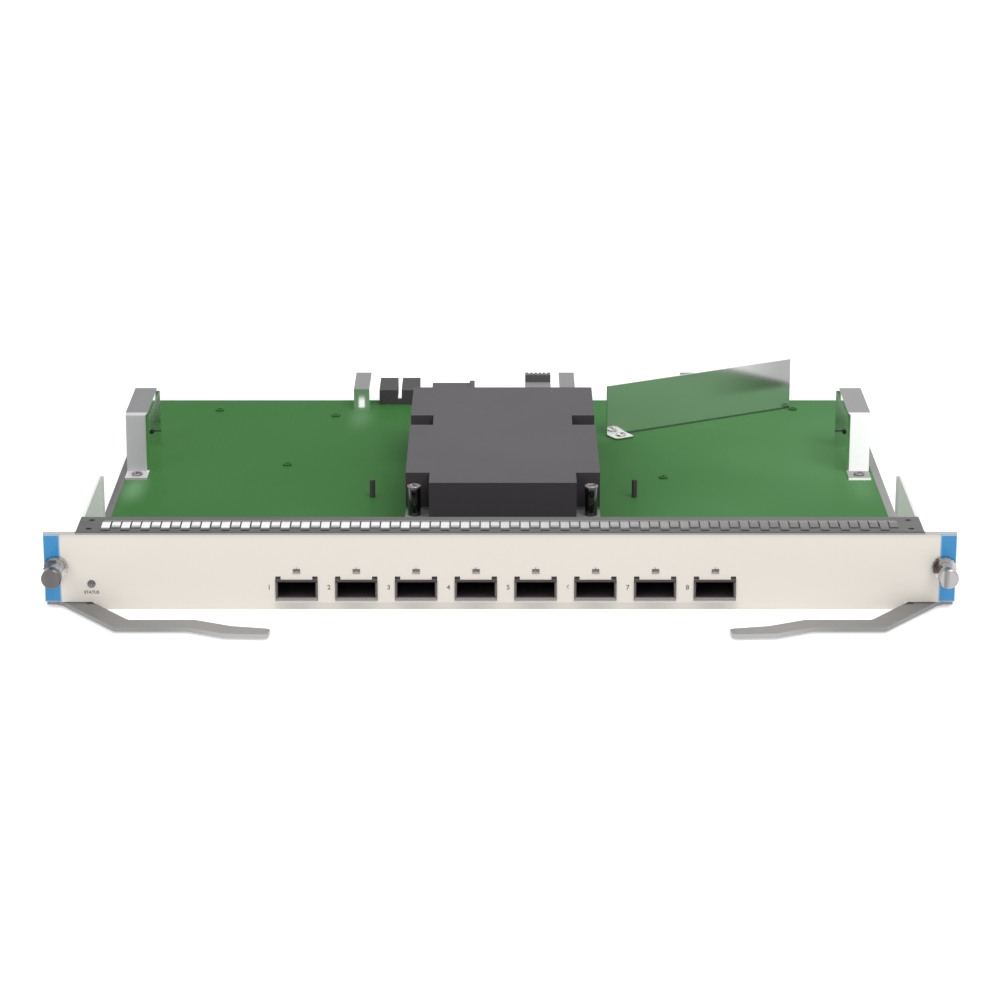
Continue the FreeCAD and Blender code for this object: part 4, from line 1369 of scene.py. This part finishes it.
@dataclass
class FrontPanel(Assembly):
    """The painted panel with its trims, flange, finger strip, light pipes and printed marks."""

    number_size: float = 3.0 * MM
    number_left: float = 12.0 * MM
    number_height: float = 9.9 * MM
    word_size: float = 1.9 * MM
    word_drop: float = 5.6 * MM
    tick_size: float = 1.4 * MM
    tick_gap: float = 0.3 * MM
    ink_depth: float = 0.03 * MM
    boldness: float = 0.07 * MM
    port_split: float = 1.1 * MM
    status_split: float = 1.7 * MM

    def coats(self) -> Coats:
        """The finish of each CAD node.

        Returns:
            Each node's finish.
        """
        ports = LightPipe(
            "port_light_pipe", "clear_plastic", srgb(150, 147, 143), srgb(70, 67, 65),
            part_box("port_light_pipes")[1].z - self.port_split)
        status = LightPipe(
            "status_light_pipe", "clear_plastic", srgb(104, 101, 98), srgb(62, 60, 58),
            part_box("status_light_pipe")[1].z - self.status_split)
        return {"front_panel": PANEL_PAINT, "top_flange": FLANGE_STEEL, "left_end_trim": BLUE_TRIM,
                "right_end_trim": BLUE_TRIM, "emi_finger_strip": FINGER_STEEL,
                "port_light_pipes": ports, "status_light_pipe": status}

    def build(self) -> None:
        """Print a number and a tick at each port, and a word under the status light."""
        tick_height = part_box("port_light_pipes")[1].z + self.tick_gap
        for index in PORTS:
            middle = centre(*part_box(f"port_cage_{index}")).x
            self.mark(f"port_number_{index}", str(index), self.number_size,
                      middle - self.number_left, self.number_height)
            self.mark(f"port_tick_{index}", "I", self.tick_size, middle, tick_height)
        low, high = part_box("status_light_pipe")
        self.mark("status_word", "STATUS", self.word_size, centre(low, high).x,
                  high.z - self.word_drop)

    def mark(self, name: str, text: str, size: float, x: float, z: float) -> None:
        """Lay a piece of text on the panel's face as a thin film.

        Args:
            name: The object's name.
            text: What it says.
            size: Letter size.
            x: The middle of the text along the panel.
            z: The height of its middle.
        """
        curve = bpy.data.curves.new(name, "FONT")
        curve.body = text
        curve.size = size
        curve.align_x = "CENTER"
        curve.align_y = "CENTER"
        curve.extrude = self.ink_depth / 2
        curve.offset = self.boldness
        source = link(name, curve)
        mesh = bpy.data.meshes.new_from_object(
            source.evaluated_get(bpy.context.evaluated_depsgraph_get()))
        bpy.data.objects.remove(source)
        place = Matrix.Translation((x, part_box("front_panel")[0].y, z))
        mesh.transform(place @ Matrix.Rotation(math.pi / 2, 4, "X"))
        self.add(link(name, mesh), DARK_INK)


@dataclass
class Tray(Assembly):
    """The pan, the side plates and the brackets of the levers."""

    def coats(self) -> Coats:
        """The finish of each CAD node."""
        plates = {side + "_side_plate": SIDE_PLATE for side in SIDES}
        return {"base_tray": TRAY_STEEL, **plates,
                **{side + "_lever_bracket": TRAY_STEEL for side in SIDES}}


@dataclass
class Board(Screwed):
    """The circuit board with its screws, posts, chip and lights."""

    screws: str = "board_screws"
    screw_set: str = "board_cross_screws"
    screw_finish: Finish = MASKED_SCREW
    head_height: float = 1.1 * MM
    sheen_gap: float = 14 * MM
    sheens: Tuple[Tuple[str, float], ...] = (
        ("left_bridge_bracket", 0.45), ("right_bridge_bracket", 0.15), ("left_guide_socket", 0.25))

    def coats(self) -> Coats:
        """The finish of each CAD node, the board's with a painted sheen in front of some pieces.

        Returns:
            Each node's finish.
        """
        boxes = [(*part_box(node), strength) for node, strength in self.sheens]
        places = tuple((centre(low, high).x, low.y - self.sheen_gap, strength)
                       for low, high, strength in boxes)
        mask = SolderMask("board_green_mask", "board_green", srgb(71, 125, 68), srgb(84, 136, 82),
                          srgb(118, 128, 84), srgb(91, 143, 90), srgb(150, 192, 152), places)
        return {"circuit_board": mask, "board_posts": POST_PLASTIC, "switch_chip": BLACK_PLASTIC,
                "board_lights": LIGHT_CHIP}


@dataclass
class Connectors(Assembly):
    """The guide blocks, headers and tall connector along the rear edge."""

    def coats(self) -> Coats:
        """The finish of each CAD node.

        Returns:
            Each node's finish.
        """
        coats: Coats = {
            "power_connectors": GREY_PLASTIC, "signal_connector": SIGNAL_PLASTIC,
            "mezzanine_connector": RIM_PLASTIC, "mezzanine_foot": PALE_PLASTIC}
        for side in ("left", "middle", "right"):
            low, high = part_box(side + "_guide_socket")
            coats[side + "_guide_socket"] = GuideBlock(
                side + "_guide_alloy", "guide_metal", srgb(236, 240, 236), srgb(138, 138, 139),
                srgb(254, 254, 254), centre(low, high).x, low.z)
        return coats


@dataclass
class Bridges(Screwed):
    """The two bridge brackets with their foot screws and black side screws."""

    screws: str = "bridge_screws"
    screw_set: str = "bridge_cross_screws"
    screw_finish: Finish = DULL_SCREW

    def coats(self) -> Coats:
        """The finish of each CAD node."""
        return {"left_bridge_bracket": LEFT_BRIDGE, "right_bridge_bracket": RIGHT_BRIDGE,
                "bridge_side_screws": BLACK_STEEL}


@dataclass
class Baffle(Screwed):
    """The slanting air baffle and its foot screw."""

    screws: str = "baffle_screw"
    screw_set: str = "baffle_cross_screw"

    def coats(self) -> Coats:
        """The finish of each CAD node."""
        return {"air_baffle": BAFFLE_SHEET}


@dataclass
class HeatSink(Screwed):
    """The fin pack on its base, held by four screws in spring cups."""

    screws: str = "heat_sink_screws"
    screw_set: str = "heat_sink_cross_screws"
    screw_finish: Finish = DULL_SCREW
    head_height: float = 1.2 * MM
    shank_radius: float = 1.38 * MM
    cup_wall: float = 0.85 * MM
    lip: float = 0.35 * MM

    def coats(self) -> Coats:
        """The finish of each CAD node."""
        return {"heat_sink": SINK_ALLOY, "heat_sink_base": BASE_ALLOY}

    def build(self) -> None:
        """Add the screws, and turn a cup with rolled lips in place of each plain one."""
        super().build()
        boxes = islands("heat_sink_springs")
        cups = mesh_piece("heat_sink_cups", lambda work: [self.cup(work, *box) for box in boxes])
        self.add(cups, CUP_STEEL, "heat_sink_springs")

    def cup(self, work: Mesh, low: Vector, high: Vector) -> None:
        """Turn one cup.

        Args:
            work: The bmesh to add to.
            low: Lowest corner of the cup's box.
            high: Highest corner.
        """
        middle, lip = centre(low, high), self.lip
        radius, height = (high.x - low.x) / 2, high.z - low.z
        inner = radius - self.cup_wall
        ring = [(inner, 0.0), (radius - lip, 0.0), (radius, lip), (radius, height - lip),
                (radius - 0.3 * lip, height - 0.3 * lip), (radius - lip, height), (inner, height),
                (inner, 0.0)]
        add_lathe(work, ring, Vector((middle.x, middle.y, low.z)))


@dataclass
class Ports(Assembly):
    """The eight cages and the connectors inside them."""

    def coats(self) -> Coats:
        """The finish of each CAD node."""
        return {**{f"port_cage_{index}": CAGE_STEEL for index in PORTS},
                "port_connectors": PORT_PLASTIC}


@dataclass
class Levers(Assembly):
    """The two ejector levers on their rivets."""

    def coats(self) -> Coats:
        """The finish of each CAD node."""
        return {**{side + "_ejector_lever": LEVER_STEEL for side in SIDES},
                **{side + "_lever_pivot": SCREW_STEEL for side in SIDES}}


@dataclass
class Thumbscrews(Assembly):
    """The captive thumbscrews: sleeves, knobs, captive rings and return springs."""

    wire: float = 0.26 * MM
    travel: float = 10.0 * MM

    def coats(self) -> Coats:
        """The finish of each CAD node."""
        return {**{side + "_captive_ring": RING_STEEL for side in SIDES},
                "left_thumbscrew": SHADED_KNOB, "right_thumbscrew": LIT_KNOB,
                "left_screw_sleeve": LEFT_SLEEVE, "right_screw_sleeve": RIGHT_SLEEVE}

    def build(self) -> None:
        """Wind each return spring at its full length."""
        for side in SIDES:
            low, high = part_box(side + "_screw_spring")
            middle, length = centre(low, high), high.y - low.y
            spring = CoilSpring((high.x - low.x) / 2 - self.wire, self.wire)
            foot = Vector((middle.x, low.y, middle.z))
            coil = spring.make(side + "_return_spring", foot, Vector((0, 1, 0)), length)
            self.add(coil, WIRE_STEEL, side + "_screw_spring")
            keep = (length - self.travel) / length
            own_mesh(coil)


# ---- studio ----


@dataclass(frozen=True)
class Lamp:
    """One soft square lamp."""

    name: str
    place: Point
    aim: Point
    size: float
    power: float

    def hang(self) -> None:
        """Add the lamp, turned towards its aim."""
        light = bpy.data.lights.new(self.name, "AREA")
        light.size = self.size
        light.energy = self.power
        lamp = link(self.name, light)
        lamp.location = self.place
        aim = Vector(self.aim) - Vector(self.place)
        lamp.rotation_euler = aim.to_track_quat("-Z", "Y").to_euler()


@dataclass
class Studio:
    """Pale floor, even surroundings, soft lamps and the camera."""

    floor_side: float = 12.0
    floor_gap: float = 0.2 * MM
    floor_colour: Colour = (0.9, 0.9, 0.9)
    floor_glow: float = 0.5
    ambient: float = 0.62
    lens: float = 121.62
    sensor: float = 36.0
    reach: float = 50.0
    camera_place: Point = (0.0, -1.4064, 0.4746)
    camera_drop: float = 16.8
    lamps: Tuple[Lamp, ...] = (
        Lamp("key", (1.1, -1.6, 2.6), (0.0, 0.1, 0.0), 1.8, 40.0),
        Lamp("fill", (-1.6, -1.8, 1.6), (0.0, 0.1, 0.0), 1.6, 13.0),
    )

    def build(self) -> None:
        """Set everything up."""
        self.lay_floor()
        self.light_world()
        for lamp in self.lamps:
            lamp.hang()
        self.set_camera()
        bpy.context.scene.view_settings.view_transform = "Standard"

    def seen(self, graph: Nodes) -> Wire:
        """One on rays from the camera, a glossy surface or a clear one, nought on the rest.

        Args:
            graph: The node tree to add to.

        Returns:
            The value.
        """
        camera = graph.node("ShaderNodeLightPath", {}, {}, "Is Camera Ray")
        outputs = camera.socket.node.outputs
        glossy = Wire(graph, outputs["Is Glossy Ray"])
        return camera.larger(glossy.larger(Wire(graph, outputs["Is Transmission Ray"])))

    def lay_floor(self) -> None:
        """Add the floor, which shows white where nothing shades it."""
        half = self.floor_side / 2
        mesh = bpy.data.meshes.new("floor")
        corners = [(-half, -half), (half, -half), (half, half), (-half, half)]
        mesh.from_pydata([(x, y, -self.floor_gap) for x, y in corners], [], [(0, 1, 2, 3)])
        floor = link("floor", mesh)
        material = bpy.data.materials.new("floor_paper")
        material.use_nodes = True
        graph = Nodes(material.node_tree)
        matt = graph.node("ShaderNodeBsdfDiffuse", {}, {"Color": self.floor_colour}, "BSDF")
        light = {"Strength": self.seen(graph) * self.floor_glow}
        glow = graph.node("ShaderNodeEmission", {}, light, "Emission")
        both = graph.node("ShaderNodeAddShader", {}, {0: matt, 1: glow}, "Shader")
        graph.node("ShaderNodeOutputMaterial", {}, {"Surface": both}, None)
        mesh.materials.append(material)

    def light_world(self) -> None:
        """Give the surroundings an even light, and show white behind the card."""
        world = bpy.data.worlds.new("studio")
        world.use_nodes = True
        bpy.context.scene.world = world
        graph = Nodes(world.node_tree)
        strength = self.seen(graph) * (1.0 - self.ambient) + self.ambient
        light = {"Color": WHITE, "Strength": strength}
        sky = graph.node("ShaderNodeBackground", {}, light, "Background")
        graph.node("ShaderNodeOutputWorld", {}, {"Surface": sky}, None)

    def set_camera(self) -> None:
        """Place the camera in front of the card, looking slightly down."""
        lens = bpy.data.cameras.new("camera")
        lens.lens = self.lens
        lens.sensor_width = self.sensor
        lens.clip_end = self.reach
        camera = link("camera", lens)
        camera.location = self.camera_place
        camera.rotation_euler = (math.radians(90.0 - self.camera_drop), 0.0, 0.0)
        bpy.context.scene.camera = camera


def main() -> None:
    """Build and dress every sub-assembly, then the studio."""
    logging.basicConfig(level=logging.INFO, format="%(message)s")
    shop = Shop()
    for kind in (FrontPanel, Tray, Board, Connectors, Bridges, Baffle, HeatSink, Ports, Levers,
                 Thumbscrews):
        assembly = kind(shop)
        assembly.build()
        assembly.dress()
        names = [piece.name for piece in assembly.made]
        LOG.info("%s: finishes %d nodes, adds %s", kind.__name__, len(assembly.coats()), names)
    Studio().build()


if __name__ == "__main__":
    main()
